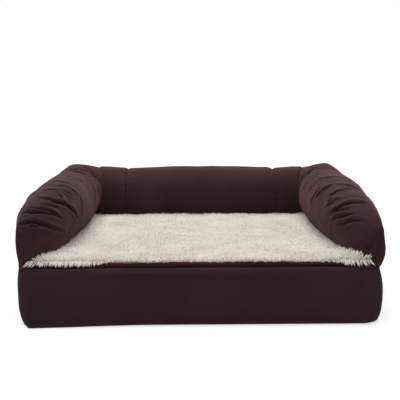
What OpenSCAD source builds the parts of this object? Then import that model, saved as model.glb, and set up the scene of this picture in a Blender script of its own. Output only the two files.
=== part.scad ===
// Dog sofa bed: a foam mattress in a zipped fabric cover, a plush lying surface on it,
// and a stuffed bolster sewn round the back and both sides.
// Millimetres. +X to the right, +Y to the back, +Z up. The origin is on the floor, at the
// middle of the overall width and depth.

/* [Overall] */
// Width over the two arms
bed_w = 800; // [640:10:1200]
// Depth from the front panel to the back of the bolster
bed_d = 600; // [500:10:1000]

/* [Mattress] */
// Height of the mattress cover, floor to top panel
base_h = 130; // [100:5:200]
// How far the cover's walls swell out past the nominal wall line
base_bulge = 7; // [2:1:14]
// How far the top and bottom edges are drawn in from the nominal wall line
edge_round = 10; // [5:1:18]
// Plan radius of the cover's corners at the top
corner_r = 30; // [24:2:60]
// Extra plan radius of the corners at the floor, where the stuffing draws back
corner_tuck = 10; // [0:2:40]
// Thickness of the cover fabric
cover_t = 1.6; // [1:0.2:2.4]
// Thickness of the memory foam that lies on the support foam
memory_t = 40; // [20:5:60]
// Gap between the foam and the cover
foam_gap = 0.6; // [0.3:0.1:0.9]

/* [Bolster] */
// Width of the stuffed roll
bolster_w = 136; // [110:2:180]
// Height of the roll above the mattress
bolster_h = 133; // [100:1:170]
// How far the roll hangs out past the swollen mattress wall
bolster_overhang = 12; // [8:1:30]
// Extra height of the roll at the two back corners
corner_rise = 7; // [0:1:16]
// Extra height of each arm at its fullest place
arm_swell = 8; // [0:1:20]
// Angle round the corner, from the back wall, at which the arm is sewn to the back roll
seam_turn = 14; // [8:1:30]
// Length over which the front of the arm rounds off
nose_l = 280; // [160:10:340]
// Thickness of the bolster cover, quilted wadding included
bolster_wall = 4; // [2:0.5:6]
// Gap between the fibre filling and its cover
fill_gap = 0.5; // [0.3:0.1:0.9]
// Distance from the inner corner to the stitched crease in the back roll
crease_in = 62; // [40:2:80]
// Depth of the stitched crease
crease_depth = 5; // [0:1:9]

/* [Lying surface] */
// Height of the plush, backing and pile
pile_h = 12; // [6:1:20]
// Extra height of the plush in the middle
pile_crown = 3; // [0:1:6]
// Height of the folded fabric binding along the front edge
binding_h = 7; // [4:1:10]
// Thickness of the binding
binding_t = 4; // [2:0.5:6]

/* [Zip] */
// Width of the closed coil chain
chain_w = 7.2; // [5:0.2:9]
// Thickness of the coil
coil_t = 2.2; // [1.6:0.2:3]
// Pitch of the coil's teeth
tooth_pitch = 3; // [2:0.5:4]
// Width of each zip tape
tape_w = 15; // [12:1:20]
// Thickness of the zip tape
tape_t = 0.8; // [0.5:0.1:1.2]
// Length of the slider's body
slider_l = 15; // [12:1:20]
// Thickness of the slider's plates
plate_t = 1.3; // [1:0.1:2]
// Length of the pull tab beyond its hinge
pull_l = 32; // [20:1:45]
// Width of the pull tab
pull_w = 9; // [7:0.5:12]
// Thickness of the pull tab
pull_t = 1.8; // [1.2:0.1:2.2]

/* [Hidden] */

// Colours as the photograph shows them
brown = [0.19, 0.13, 0.13];
brown_light = [0.26, 0.19, 0.18];
cream = [0.82, 0.79, 0.73];
tape_brown = [0.16, 0.11, 0.10];
zip_metal = [0.36, 0.33, 0.30];

// Clearances and overruns
seat_gap = 0.3;      // soft piece to the face that carries it
side_gap = 0.5;      // plush to the roll beside it
run_gap = 0.3;       // slider to tape and coil
pin_gap = 0.08;      // pull's crossbar in the slider's eye
overrun = 1;         // how far a cut runs past the face that it opens

// Wall lines of the mattress cover
half_w = bed_w / 2 - bolster_overhang - base_bulge;
y_front = -bed_d / 2 + base_bulge;
y_back = bed_d / 2 - bolster_overhang - base_bulge;
wall_power = 2.8;
tuck_power = 3;
wall_levels = 10;
corner_steps = 6;

// Inner corner of the roll: its sections turn about this upright line
pinch_r = 3;
pivot_x = bed_w / 2 - bolster_w - pinch_r;
pivot_y = bed_d / 2 - bolster_w - pinch_r;
corner_power = 4;
roll_sides = 24;
roll_power = 2.4;        // 2 would be an ellipse
roll_top_share = 0.56;   // upper part of the roll's height, from its widest line to its top
roll_z = base_h + seat_gap;
seam_pinch_share = 0.94;
back_sag_share = 0.045;

// Front of the arm
nose_end_y = y_front + binding_t;
nose_start_y = nose_end_y + nose_l;
nose_tip_share = 0.22;       // width that is left at the tip, as a share of the roll
nose_round_share = 0.15;     // how far the outer side rounds in at the tip
nose_low_share = 0.25;       // height that is left at the tip
nose_inner_power = 1.9;
nose_outer_power = 2.4;
nose_top_power = 3.4;

// Zip in the middle of the back wall
zip_z = base_h / 2;
wall_y = y_back + base_bulge;
flange_t = 1;
web_t = 1;
slit = web_t + 2 * run_gap;
channel_w = chain_w + 2 * run_gap;           // between the slider's flanges
slider_w = channel_w + 2 * flange_t;         // at its narrow rear end
slider_flare = 1.4;                          // how much wider each side of its front end is
slot_h = slider_w + 2 * slider_flare + 2 * run_gap;
strip_x = half_w - corner_r - corner_tuck - seat_gap;
tape_end = 6;                                // tape beyond the stops
stop_l = 4;
chain_x = strip_x - tape_end - stop_l - run_gap;
tape_y = wall_y - cover_t - seat_gap;        // outer face of the tape
coil_y = tape_y + coil_t;                    // outer face of the coil
plate_y = coil_y + run_gap;                  // inner face of the slider's outer plate
under_y = tape_y - tape_t - run_gap;         // outer face of the slider's inner plate
zip_room = wall_y - (under_y - plate_t) + run_gap;
eye_r = 1.3;
eye_wall = 1.2;
eye_w = 3;
crossbar_r = eye_r - pin_gap;
pull_axis_y = plate_y + plate_t + eye_r + run_gap;
slider_x = chain_x - slider_l / 2;           // closed: parked at the right-hand stops
pull_axis_x = slider_x;
pull_leg_w = 1.8;
pull_window_l = 5;
pull_hole_r = 2.4;

// Position of the wall at height z, outwards from the nominal wall line
function wall_offset(z) =
    -edge_round + (edge_round + base_bulge)
    * pow(max(0, 1 - pow(abs(2 * z / base_h - 1), wall_power)), 1 / wall_power);

// Plan radius of a corner at height z
function corner_radius(z) = corner_r + corner_tuck * pow(1 - z / base_h, tuck_power);

// Point on a corner: sx and sy pick it, phi turns from the side wall (0) to the front or back wall (90)
function wall_point(sx, sy, phi, z, inset, back_line) =
    let (r = corner_radius(z), out = r + wall_offset(z) - inset,
         cy = sy > 0 ? back_line - r : y_front + r)
    [sx * (half_w - r + out * cos(phi)), cy + sy * out * sin(phi), z];

// Heights between z0 and z1, closer together near the ends
function levels(z0, z1, n) =
    [for (i = [0 : n - 1]) z0 + (z1 - z0) * (1 - cos(180 * i / (n - 1))) / 2];

function reversed(list) = [for (i = [len(list) - 1 : -1 : 0]) list[i]];

// Stations round the mattress, right back corner first: [sx, sy, phi]
corner_stations = [
    for (c = [[1, 1, 90, 0], [1, -1, 0, 90], [-1, -1, 90, 0], [-1, 1, 0, 90]])
        for (i = [0 : corner_steps])
            [c[0], c[1], c[2] + (c[3] - c[2]) * i / corner_steps]];

// Closed solid through a list of rings that all have the same number of points.
// Open: the first and last ring are capped. Closed: the last ring joins the first.
// Crossed: each quad is split along its other diagonal, so that a filling whose rings run
// the other way round than its cover's keeps an even gap to it.
module loft(rings, closed = false, crossed = false) {
    n = len(rings[0]);
    m = len(rings);
    links = closed ? m : m - 1;
    sides = [
        for (j = [0 : links - 1])
            for (i = [0 : n - 1])
                let (a = j * n + i, b = j * n + (i + 1) % n,
                     c = ((j + 1) % m) * n + (i + 1) % n, d = ((j + 1) % m) * n + i)
                each crossed ? [[a, b, d], [b, c, d]] : [[a, b, c], [a, c, d]]];
    caps = closed ? [] : [
        [for (i = [n - 1 : -1 : 0]) i],
        [for (i = [0 : n - 1]) (m - 1) * n + i]];
    polyhedron(points = [for (r = rings) each r], faces = concat(sides, caps), convexity = 6);
}

// Wall section at a station: up the inside, down the outside
function wall_section(sx, sy, phi) =
    let (zs = levels(cover_t, base_h - cover_t, wall_levels))
    concat([for (z = zs) wall_point(sx, sy, phi, z, cover_t, y_back)],
           [for (z = reversed(zs)) wall_point(sx, sy, phi, z, 0, y_back)]);

// The same section where it ends square against the zip panel
function wall_end(sx) = [for (p = wall_section(sx, 1, 90)) [sx * strip_x, p.y, p.z]];

// Border of the mattress cover: one strip round the front and both sides
module border_strip() {
    color(brown)
        loft(concat([wall_end(1)],
                    [for (s = corner_stations) wall_section(s[0], s[1], s[2])],
                    [wall_end(-1)]));
}

// Straight strip of the back wall between two heights
module back_strip(z0, z1) {
    zs = levels(z0, z1, wall_levels);
    color(brown)
        rotate([90, 0, 90])
            linear_extrude(height = 2 * strip_x, center = true)
                polygon(concat([for (z = zs) [y_back + wall_offset(z), z]],
                               [for (z = reversed(zs)) [y_back + wall_offset(z) - cover_t, z]]));
}

module back_strip_upper() {
    back_strip(zip_z + slot_h / 2, base_h - cover_t);
}

module back_strip_lower() {
    back_strip(cover_t, zip_z - slot_h / 2);
}

// Flat panel of the cover, cut to the wall's outline at height z
module panel(z) {
    r = corner_radius(z) + wall_offset(z);
    x = half_w + wall_offset(z);
    y0 = y_front - wall_offset(z);
    y1 = y_back + wall_offset(z);
    linear_extrude(height = cover_t)
        union() {
            translate([-x + r, y0]) square([2 * (x - r), y1 - y0]);
            translate([-x, y0 + r]) square([2 * x, y1 - y0 - 2 * r]);
            for (sx = [-1, 1])
                for (y = [y0 + r, y1 - r])
                    translate([sx * (x - r), y]) circle(r = r, $fn = 96);
        }
}

module top_panel() {
    color(brown_light) translate([0, 0, base_h - cover_t]) panel(base_h - cover_t);
}

module bottom_panel() {
    color(tape_brown) panel(cover_t);
}

// Foam slab between two heights, cut short at the back to leave room for the zip
module foam_slab(z0, z1) {
    slab_levels = 5;
    loft([for (z = levels(z0, z1, slab_levels))
              [for (s = corner_stations)
                   wall_point(s[0], s[1], s[2], z, cover_t + foam_gap,
                              y_back - zip_room)]]);
}

memory_z = base_h - cover_t - foam_gap - memory_t;

module support_foam() {
    color("lightsteelblue") foam_slab(cover_t + foam_gap, memory_z);
}

module memory_foam() {
    color("lemonchiffon") foam_slab(memory_z, base_h - cover_t - foam_gap);
}

// Cosine and sine flattened towards a square, for the roll's full shoulders
function full(t) = sign(t) * pow(abs(t), 2 / roll_power);

// Section of the roll. A station holds [x, y, dir_x, dir_y, start, width, height]:
// an upright line, a direction out from it, and the roll's size there.
function roll_section(st, inset) =
    let (upper = st[6] * roll_top_share, mid = st[6] - upper)
    [for (i = [0 : roll_sides - 1])
        let (a = -360 * i / roll_sides,
             u = st[4] + st[5] / 2 + (st[5] / 2 - inset) * full(cos(a)),
             v = max(mid + (upper - inset) * full(sin(a)), inset))
        [st[0] + st[2] * u, st[1] + st[3] * u, roll_z + v]];

// How far in from its widest line the roll starts at height v
function roll_undercut(width, height, v) =
    let (upper = height * roll_top_share, mid = height - upper)
    width / 2 * (1 - pow(max(0, 1 - pow((mid - v) / upper, roll_power)), 1 / roll_power));

// The station drawn in about its own middle, to a share of its size
function pinched(st, share) =
    [st[0], st[1], st[2], st[3], st[4] + st[5] * (1 - share) / 2, st[5] * share, st[6] * share];

// Station in the corner, phi degrees round from the arm
function bend_station(phi) =
    let (full = pow(pow(cos(phi), corner_power) + pow(sin(phi), corner_power),
                    -1 / corner_power))
    [pivot_x, pivot_y, cos(phi), sin(phi), pinch_r, bolster_w * full,
     bolster_h + corner_rise * pow(sin(2 * phi), 2)];

// Height of the arm at y: fullest halfway between the corner and the tip
function arm_height(y) =
    bolster_h + arm_swell * pow(sin(180 * (pivot_y - y) / (pivot_y - nose_end_y)), 2);

// Station on the straight of the arm
function arm_station(y) = [pivot_x, y, 1, 0, pinch_r, bolster_w, arm_height(y)];

// Station in the rounded front of the arm: s runs from 0 to 1 at the tip
function nose_station(s) =
    let (inner = bolster_w * (1 - nose_tip_share)
                 * (1 - pow(1 - pow(s, nose_inner_power), 1 / nose_inner_power)),
         outer = bolster_w - bolster_w * nose_round_share
                 * (1 - pow(1 - pow(s, nose_outer_power), 1 / nose_outer_power)),
         y = nose_start_y - s * nose_l,
         high = nose_low_share + (1 - nose_low_share)
                * pow(1 - pow(s, nose_top_power), 1 / nose_top_power))
    [pivot_x, y, 1, 0, pinch_r + inner, outer - inner, arm_height(y) * high];

// Station on the back roll at x
function back_station(x) =
    let (beyond = max(0, abs(x) - crease_x) / crease_in,
         sag = 1 - back_sag_share * (pow(min(abs(x) / crease_x, 1), 2) - min(beyond, 1)),
         pinch = crease_depth * exp(-pow((abs(x) - crease_x) / crease_half, 2)))
    pinched([x, pivot_y, 0, 1, pinch_r, bolster_w, bolster_h * sag],
            1 - 2 * pinch / bolster_w);

crease_x = pivot_x - crease_in;
crease_half_share = 0.2;
crease_half = crease_in * crease_half_share;
seam_phi = 90 - seam_turn;

// Stations of the right arm, from its seam in the corner to its tip
bend_shares = [0.06, 0.2, 0.36, 0.52, 0.68, 0.84, 1];
nose_shares = [0.25, 0.45, 0.6, 0.72, 0.82, 0.9, 0.96, 1];
straight_shares = [0.25, 0.5, 0.75, 1];
arm_outer = concat(
    [pinched(bend_station(seam_phi), seam_pinch_share)],
    [for (t = bend_shares) bend_station(seam_phi * (1 - t))],
    [for (t = straight_shares) arm_station(pivot_y + (nose_start_y - pivot_y) * t)],
    [for (s = nose_shares) nose_station(s)]);
cavity_bend_shares = [0.2, 0.52, 1];
cavity_nose_shares = [0.45, 0.72, 0.9];
arm_cavity = concat(
    [pinched(bend_station(seam_phi), seam_pinch_share)],
    [for (t = cavity_bend_shares) bend_station(seam_phi * (1 - t))],
    [arm_station(nose_start_y)],
    [for (s = cavity_nose_shares) nose_station(s)]);

// Stations of the back roll, from the middle to its right-hand seam
crease_shares = [-1, -0.45, -0.2, 0, 0.2, 0.45, 1];
middle_shares = [0, 0.35, 0.7];
back_bend_shares = [0.45, 0.85];
half_back = concat(
    [for (t = middle_shares) back_station((crease_x - crease_in) * t)],
    [for (t = crease_shares) back_station(crease_x + crease_in * t)],
    [for (t = back_bend_shares) bend_station(90 - seam_turn * t)],
    [pinched(bend_station(seam_phi), seam_pinch_share)]);
cavity_crease_shares = [-0.45, 0, 0.45, 1];
half_back_cavity = concat(
    [back_station(0)],
    [for (t = cavity_crease_shares) back_station(crease_x + crease_in * t)],
    [pinched(bend_station(seam_phi), seam_pinch_share)]);

// The same station on the left-hand side
function mirrored(st) = [-st[0], st[1], -st[2], st[3], st[4], st[5], st[6]];

// Both halves of the back roll, left seam first
function both_halves(half) =
    concat([for (st = reversed([for (i = [1 : len(half) - 1]) half[i]])) mirrored(st)], half);

// Rings of the back roll all start on the same side of the roll
function back_rings(half, inset) = [for (st = both_halves(half)) roll_section(st, inset)];

module arm_cover() {
    color(brown)
        loft(concat([for (st = reversed(arm_cavity)) roll_section(st, bolster_wall)],
                    [for (st = arm_outer) roll_section(st, 0)]));
}

module arm_fill() {
    color("white")
        loft([for (st = arm_cavity) roll_section(st, bolster_wall + fill_gap)], crossed = true);
}

module right_arm_cover() {
    arm_cover();
}

module left_arm_cover() {
    mirror([1, 0, 0]) arm_cover();
}

module back_bolster_cover() {
    color(brown)
        loft(concat(back_rings(half_back, 0),
                    reversed(back_rings(half_back_cavity, bolster_wall))),
             closed = true);
}

module right_arm_fill() {
    arm_fill();
}

module left_arm_fill() {
    mirror([1, 0, 0]) arm_fill();
}

module back_bolster_fill() {
    color("white")
        loft(back_rings(half_back_cavity, bolster_wall + fill_gap), crossed = true);
}

// Edge of the plush beside the roll, right-hand side, back to front
function plush_edge(st) =
    let (u = st[4] + roll_undercut(st[5], st[6], pile_h) - side_gap)
    [st[0] + st[2] * u, st[1] + st[3] * u];

plush_bend_steps = 4;
plush_front_y = nose_end_y + binding_t + seat_gap;
plush_last = (nose_start_y - plush_front_y) / nose_l;
plush_right = concat(
    [for (i = [0 : plush_bend_steps]) plush_edge(bend_station(90 - 90 * i / plush_bend_steps))],
    [plush_edge(arm_station(nose_start_y))],
    [for (s = nose_shares) if (s < plush_last) plush_edge(nose_station(s))],
    [plush_edge(nose_station(plush_last))]);
plush_left = [for (p = reversed(plush_right)) [-p.x, p.y]];
front_shares = [0.6, 0.2, -0.2, -0.6];
plush_front = [for (t = front_shares) [plush_right[len(plush_right) - 1].x * t, plush_front_y]];
plush_outline = concat(plush_right, plush_front, plush_left);
plush_mid_y = (nose_end_y + pivot_y) / 2;
plush_shoulder_share = 0.6;
plush_ring_shares = [0.985, 0.85, 0.5, 0.12];

// Outline of the plush drawn towards its middle, at height v above the mattress
function plush_ring(share, v) =
    [for (p = plush_outline)
        [p.x * share, plush_mid_y + (p.y - plush_mid_y) * share, roll_z + v]];

module plush_surface() {
    color(cream)
        loft(concat(
            [plush_ring(1, 0), plush_ring(1, pile_h * plush_shoulder_share)],
            [for (t = plush_ring_shares)
                 plush_ring(t, pile_h + pile_crown * (1 - pow(t, 2)))]));
}

// Folded strip of cover fabric that binds the plush along the front edge
module front_binding() {
    binding_x = plush_right[len(plush_right) - 1].x;
    color(brown_light)
        translate([0, plush_front_y - seat_gap - binding_t / 2, base_h])
            rotate([90, 0, 90])
                linear_extrude(height = 2 * binding_x, center = true)
                    union() {
                        translate([-binding_t / 2, 0])
                            square([binding_t, binding_h - binding_t / 2]);
                        translate([0, binding_h - binding_t / 2])
                            circle(d = binding_t, $fn = 48);
                    }
}

// One zip tape: side is 1 for the upper, -1 for the lower
module zip_tape(side) {
    color(tape_brown)
        translate([-strip_x + run_gap, tape_y - tape_t,
                   zip_z + (side > 0 ? slit / 2 : -slit / 2 - tape_w)])
            cube([2 * (strip_x - run_gap), tape_t, tape_w]);
}

module zip_tape_upper() {
    zip_tape(1);
}

module zip_tape_lower() {
    zip_tape(-1);
}

tooth_count = floor(2 * chain_x / tooth_pitch);
tooth_share = 0.5;
spine_share = 0.5;

// One coil: a spine on the tape with teeth towards the slit
module zip_coil(side) {
    half_chain = chain_w / 2;
    spine = slit / 2 + (half_chain - slit / 2) * spine_share;
    start = -tooth_count * tooth_pitch / 2;
    teeth = [
        for (i = [0 : tooth_count - 1])
            let (x0 = start + i * tooth_pitch, x1 = x0 + tooth_pitch * tooth_share)
            each [[x0, spine], [x0, slit / 2], [x1, slit / 2], [x1, spine]]];
    color(tape_brown)
        translate([0, coil_y, zip_z])
            rotate([90, 0, 0])
                linear_extrude(height = coil_t)
                    scale([1, side])
                        polygon(concat([[-chain_x, half_chain], [-chain_x, spine]],
                                       teeth,
                                       [[chain_x, spine], [chain_x, half_chain]]));
}

module zip_coil_upper() {
    zip_coil(1);
}

module zip_coil_lower() {
    zip_coil(-1);
}

// Metal stops clamped on the tapes: one across both at the left, one on each at the right
module zip_end_stops() {
    left_x = -chain_x - run_gap - stop_l;
    right_x = chain_x + run_gap;
    color(zip_metal) {
        translate([left_x, tape_y, zip_z - chain_w / 2]) cube([stop_l, coil_t, chain_w]);
        for (z = [slit / 2, -chain_w / 2])
            translate([right_x, tape_y, zip_z + z])
                cube([stop_l, coil_t, chain_w / 2 - slit / 2]);
    }
}

// Outline of the slider's plates: narrow at the rear, flared to the front, corners cut
module slider_outline(w) {
    front = w + 2 * slider_flare;
    cut = slider_flare;
    polygon([[-slider_l / 2, -w / 2 + cut], [-slider_l / 2 + cut, -w / 2], [0, -w / 2],
             [cut, -front / 2], [slider_l / 2 - cut, -front / 2], [slider_l / 2, -front / 2 + cut],
             [slider_l / 2, front / 2 - cut], [slider_l / 2 - cut, front / 2], [cut, front / 2],
             [0, w / 2], [-slider_l / 2 + cut, w / 2], [-slider_l / 2, w / 2 - cut]]);
}

// Slider: outer plate with flanges and an eye, inner plate, and a web that joins them through the slit
module zip_slider() {
    flange_h = coil_t - run_gap;
    eye_out = eye_r + eye_wall;
    color(zip_metal)
        difference() {
            translate([slider_x, 0, zip_z])
                union() {
                    translate([0, plate_y + plate_t, 0])
                        rotate([90, 0, 0])
                            linear_extrude(height = plate_t + flange_h) slider_outline(slider_w);
                    translate([0, under_y, 0])
                        rotate([90, 0, 0])
                            linear_extrude(height = plate_t) slider_outline(slider_w);
                    translate([0, under_y, -web_t / 2])
                        cube([slider_l / 2, plate_y - under_y, web_t]);
                    translate([0, pull_axis_y, -eye_w / 2])
                        cylinder(r = eye_out, h = eye_w, $fn = 48);
                    translate([-eye_out, plate_y + plate_t / 2, -eye_w / 2])
                        cube([2 * eye_out, pull_axis_y - plate_y - plate_t / 2, eye_w]);
                }
            for (side = [-1, 1])
                translate([slider_x - slider_l / 2 - overrun, plate_y - flange_h - overrun,
                           zip_z + (side > 0 ? web_t / 2 : -channel_w / 2)])
                    cube([slider_l + 2 * overrun, flange_h + overrun, channel_w / 2 - web_t / 2]);
            translate([slider_x - slider_l / 2 - overrun, plate_y - flange_h - overrun,
                       zip_z - web_t / 2])
                cube([slider_l / 2 + overrun, flange_h + overrun, web_t]);
            translate([pull_axis_x, pull_axis_y, zip_z - eye_w / 2 - overrun])
                cylinder(r = eye_r, h = eye_w + 2 * overrun, $fn = 48);
        }
}

// Pull tab: a crossbar through the slider's eye, two legs past it, and a tab with a hole
module zip_pull() {
    leg_z = eye_w / 2 + run_gap;
    leg_start = eye_r + eye_wall + run_gap;
    tab_x = leg_start + pull_window_l;
    color(zip_metal)
        translate([pull_axis_x, pull_axis_y, zip_z]) {
            translate([0, 0, -leg_z - pull_leg_w])
                cylinder(r = crossbar_r, h = 2 * (leg_z + pull_leg_w), $fn = 48);
            difference() {
                union() {
                    for (z = [leg_z, -leg_z - pull_leg_w])
                        translate([-tab_x, -crossbar_r, z])
                            cube([tab_x, 2 * crossbar_r, pull_leg_w]);
                    translate([-pull_l + pull_w / 2, -pull_t / 2, -pull_w / 2])
                        cube([pull_l - pull_w / 2 - leg_start, pull_t, pull_w]);
                    translate([-pull_l + pull_w / 2, pull_t / 2, 0])
                        rotate([90, 0, 0]) cylinder(d = pull_w, h = pull_t, $fn = 64);
                }
                translate([-pull_l + pull_w / 2, pull_t / 2 + overrun, 0])
                    rotate([90, 0, 0])
                        cylinder(r = pull_hole_r, h = pull_t + 2 * overrun, $fn = 48);
            }
        }
}

border_strip();
back_strip_upper();
back_strip_lower();
top_panel();
bottom_panel();
support_foam();
memory_foam();
plush_surface();
front_binding();
back_bolster_cover();
left_arm_cover();
right_arm_cover();
back_bolster_fill();
left_arm_fill();
right_arm_fill();
zip_tape_upper();
zip_tape_lower();
zip_coil_upper();
zip_coil_lower();
zip_end_stops();
zip_slider();
zip_pull();
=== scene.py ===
"""Pet sofa bed: its woven cover, gathered bolster rolls, lambskin-look plush and hidden zip.

Metres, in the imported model's own frame: +X right, +Y back, +Z up, origin on the floor.
"""

import bpy
import numpy as np
from mathutils import Matrix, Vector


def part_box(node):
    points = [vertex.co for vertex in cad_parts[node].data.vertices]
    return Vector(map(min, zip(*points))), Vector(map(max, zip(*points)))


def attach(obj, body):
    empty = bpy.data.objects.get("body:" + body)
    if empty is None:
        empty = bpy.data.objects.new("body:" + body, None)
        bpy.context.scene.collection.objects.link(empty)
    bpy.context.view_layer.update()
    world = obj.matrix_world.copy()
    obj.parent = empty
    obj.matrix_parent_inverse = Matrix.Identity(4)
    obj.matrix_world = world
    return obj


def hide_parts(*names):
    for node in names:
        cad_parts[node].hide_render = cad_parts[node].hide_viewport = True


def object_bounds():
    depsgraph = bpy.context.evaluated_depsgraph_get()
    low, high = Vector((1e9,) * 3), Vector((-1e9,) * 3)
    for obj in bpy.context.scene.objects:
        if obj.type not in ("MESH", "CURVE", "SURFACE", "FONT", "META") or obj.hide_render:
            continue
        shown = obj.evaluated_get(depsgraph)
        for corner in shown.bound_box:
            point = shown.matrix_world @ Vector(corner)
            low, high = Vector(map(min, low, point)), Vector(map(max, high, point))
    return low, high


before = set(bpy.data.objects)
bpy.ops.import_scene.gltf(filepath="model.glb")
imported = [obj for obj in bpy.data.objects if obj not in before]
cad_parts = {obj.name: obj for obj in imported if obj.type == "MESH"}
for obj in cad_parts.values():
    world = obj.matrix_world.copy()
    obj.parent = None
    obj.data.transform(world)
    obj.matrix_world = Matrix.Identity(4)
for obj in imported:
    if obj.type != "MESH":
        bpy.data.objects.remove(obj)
cad_size = [list(corner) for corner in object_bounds()]

MM = 0.001
TAU = 2 * np.pi

# Mattress cover, as the solids have it
bulge = 7 * MM
edge_drawn = 10 * MM
corner_r = 30 * MM
corner_tuck = 10 * MM
wall_power = 2.8
cover_t = 1.6 * MM
base_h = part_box("top_panel")[1][2]
half_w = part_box("border_strip")[1][0] - bulge
front_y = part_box("border_strip")[0][1] + bulge
back_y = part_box("back_strip_upper")[1][1] - bulge
middle_y = (front_y + back_y) / 2
strip_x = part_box("back_strip_upper")[1][0]

# Bolster rolls
roll_w = 136 * MM
roll_h = 133 * MM
roll_power = 2.4
roll_top_share = 0.56
pinch_r = 3 * MM
corner_rise = 7 * MM
arm_swell = 8 * MM
tuck_rise = 65 * MM
sim_step = 5 * MM
sim_cap = 3.5 * MM
sim_frames = 20
pivot_x = cad_size[1][0] - roll_w - pinch_r
pivot_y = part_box("back_bolster_cover")[1][1] - roll_w - pinch_r
roll_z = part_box("right_arm_cover")[0][2]
seam_phi = np.radians(76)
crease_x = pivot_x - 62 * MM
nose_l = 280 * MM
nose_end_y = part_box("right_arm_cover")[0][1]
nose_start_y = nose_end_y + nose_l
bend_l = (pinch_r + roll_w / 2) * seam_phi
straight_l = pivot_y - nose_start_y
arm_l = bend_l + straight_l + nose_l

# This bed's left seam: where it lies, how far its upper part leans, and how wide the cloth follows
left_seam_x = -278 * MM
left_seam_lean = 12 * MM
left_seam_reach = 55 * MM

# Zip
tooth_pitch = 3 * MM

# Plush lying surface
pile_h = 12 * MM
side_gap = 0.5 * MM
plush_front_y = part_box("plush_surface")[0][1]
# The locks are about 3 mm thick, coarser than real tufts, so that they show in a render
pile_left_x = -380 * MM
patch_w = 95 * MM
patch_count = 8
lock_step = 2.1 * MM
clump_step = 9 * MM
swirl_w = 50 * MM
root_depth = 2.5 * MM
# A lock's radius at its root, at two fifths and at three quarters, and how much more it has where it hangs
# over the binding
lock_r = np.array([1.6, 1.4, 0.8]) * MM
lock_r_over = np.array([0.3, 0.9, 0.9]) * MM
# From where to where, out from the middle, the locks come to hang over the binding, heap up against the
# arms, stand out in a puff and spread out past the arms, and how far forwards they heap up
left_hang = (150 * MM, 240 * MM)
right_hang = (250 * MM, 310 * MM)
heap_x = (255 * MM, 335 * MM)
heap_y = (180 * MM, 250 * MM)
puff_x = (310 * MM, 330 * MM)
spread_x = (310 * MM, 345 * MM)
spread_left, spread_right = 19 * MM, 13 * MM
puff_share = 0.7
# The line of a lock that hangs over the binding, root to tip: out from the plush's front edge, and above
# the roll's foot
hang_out = np.array([0, 6, 11, 12]) * MM
hang_up = np.array([4, 10.5, 3.5, -1.5]) * MM


# Numbers and noise


def smooth_noise(x, y, seed):
    """Value noise: random values at whole x and y, blended between by 3t^2 - 2t^3, from -1 to 1."""
    table = np.random.default_rng(seed).uniform(-1, 1, (97, 89))
    x, y = np.broadcast_arrays(x, y)
    xi, yi = np.floor(x).astype(int), np.floor(y).astype(int)
    fx, fy = x - xi, y - yi
    fx, fy = fx * fx * (3 - 2 * fx), fy * fy * (3 - 2 * fy)
    a = table[xi % 97, yi % 89] * (1 - fx) + table[(xi + 1) % 97, yi % 89] * fx
    b = table[xi % 97, (yi + 1) % 89] * (1 - fx) + table[(xi + 1) % 97, (yi + 1) % 89] * fx
    return a * (1 - fy) + b * fy


def layered_noise(x, y, seed, layers=3):
    """Sum of smooth noise layers, each twice as fine and half as strong as the one before."""
    return sum(smooth_noise(x * 2**i, y * 2**i, seed + i) / 2**i for i in range(layers))


def full(t):
    """A cosine or sine flattened towards a square: its size to the power 2 / roll_power, with its sign."""
    return np.sign(t) * np.abs(t) ** (2 / roll_power)


def bell(x, width):
    """1 at zero and falling to both sides: exp(-(x / width)^2)."""
    return np.exp(-((x / width) ** 2))


def ease(x, low, high):
    """0 below low, 1 above high, and 3t^2 - 2t^3 between."""
    t = np.clip((x - low) / (high - low), 0, 1)
    return t * t * (3 - 2 * t)


def joined(*parts):
    """Numbers and arrays spread to one shape and joined on a new last axis."""
    return np.stack(np.broadcast_arrays(*parts), axis=-1)


def unit(vectors):
    """Vectors drawn out or in to a length of 1."""
    return vectors / np.linalg.norm(vectors, axis=-1, keepdims=True)


def nearest(points, line):
    """The number of the line's point that is nearest to each point, and the distance to it."""
    gap = np.linalg.norm(points[:, None] - line[None], axis=2)
    k = gap.argmin(axis=1)
    return k, gap[np.arange(len(k)), k]


def along(points):
    """Distance from the first point to each point of a polyline."""
    steps = np.linalg.norm(np.diff(points, axis=0), axis=1)
    return np.concatenate([[0], np.cumsum(steps)])


def resampled(points, count):
    """A polyline's points moved to count places, equal steps apart."""
    s = along(points)
    wanted = np.linspace(0, s[-1], count)
    return np.stack([np.interp(wanted, s, column) for column in points.T], axis=1)


def smooth_curve(points, count=140, window=25):
    """A polyline made smooth: equal steps along it, each the weighted mean of its neighbours."""
    steps = resampled(np.array(points, float), count)
    weights = np.hanning(window + 2)[1:-1]
    weights = weights / weights.sum()
    padded = np.pad(steps, ((window // 2, window // 2), (0, 0)), mode="reflect", reflect_type="odd")
    return np.stack([np.convolve(column, weights, mode="valid") for column in padded.T], axis=1)


def on_grid(grid, rows, columns, at):
    """Points of a grid at places (row value, column value), blended between its four nearest points."""
    i = np.interp(at[:, 0], rows, np.arange(len(rows)))
    j = np.interp(at[:, 1], columns, np.arange(len(columns)))
    i0, j0 = np.minimum(i.astype(int), len(rows) - 2), np.minimum(j.astype(int), len(columns) - 2)
    fi, fj = (i - i0)[:, None], (j - j0)[:, None]
    low = grid[i0, j0] * (1 - fj) + grid[i0, j0 + 1] * fj
    high = grid[i0 + 1, j0] * (1 - fj) + grid[i0 + 1, j0 + 1] * fj
    return low * (1 - fi) + high * fi


# Meshes


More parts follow.
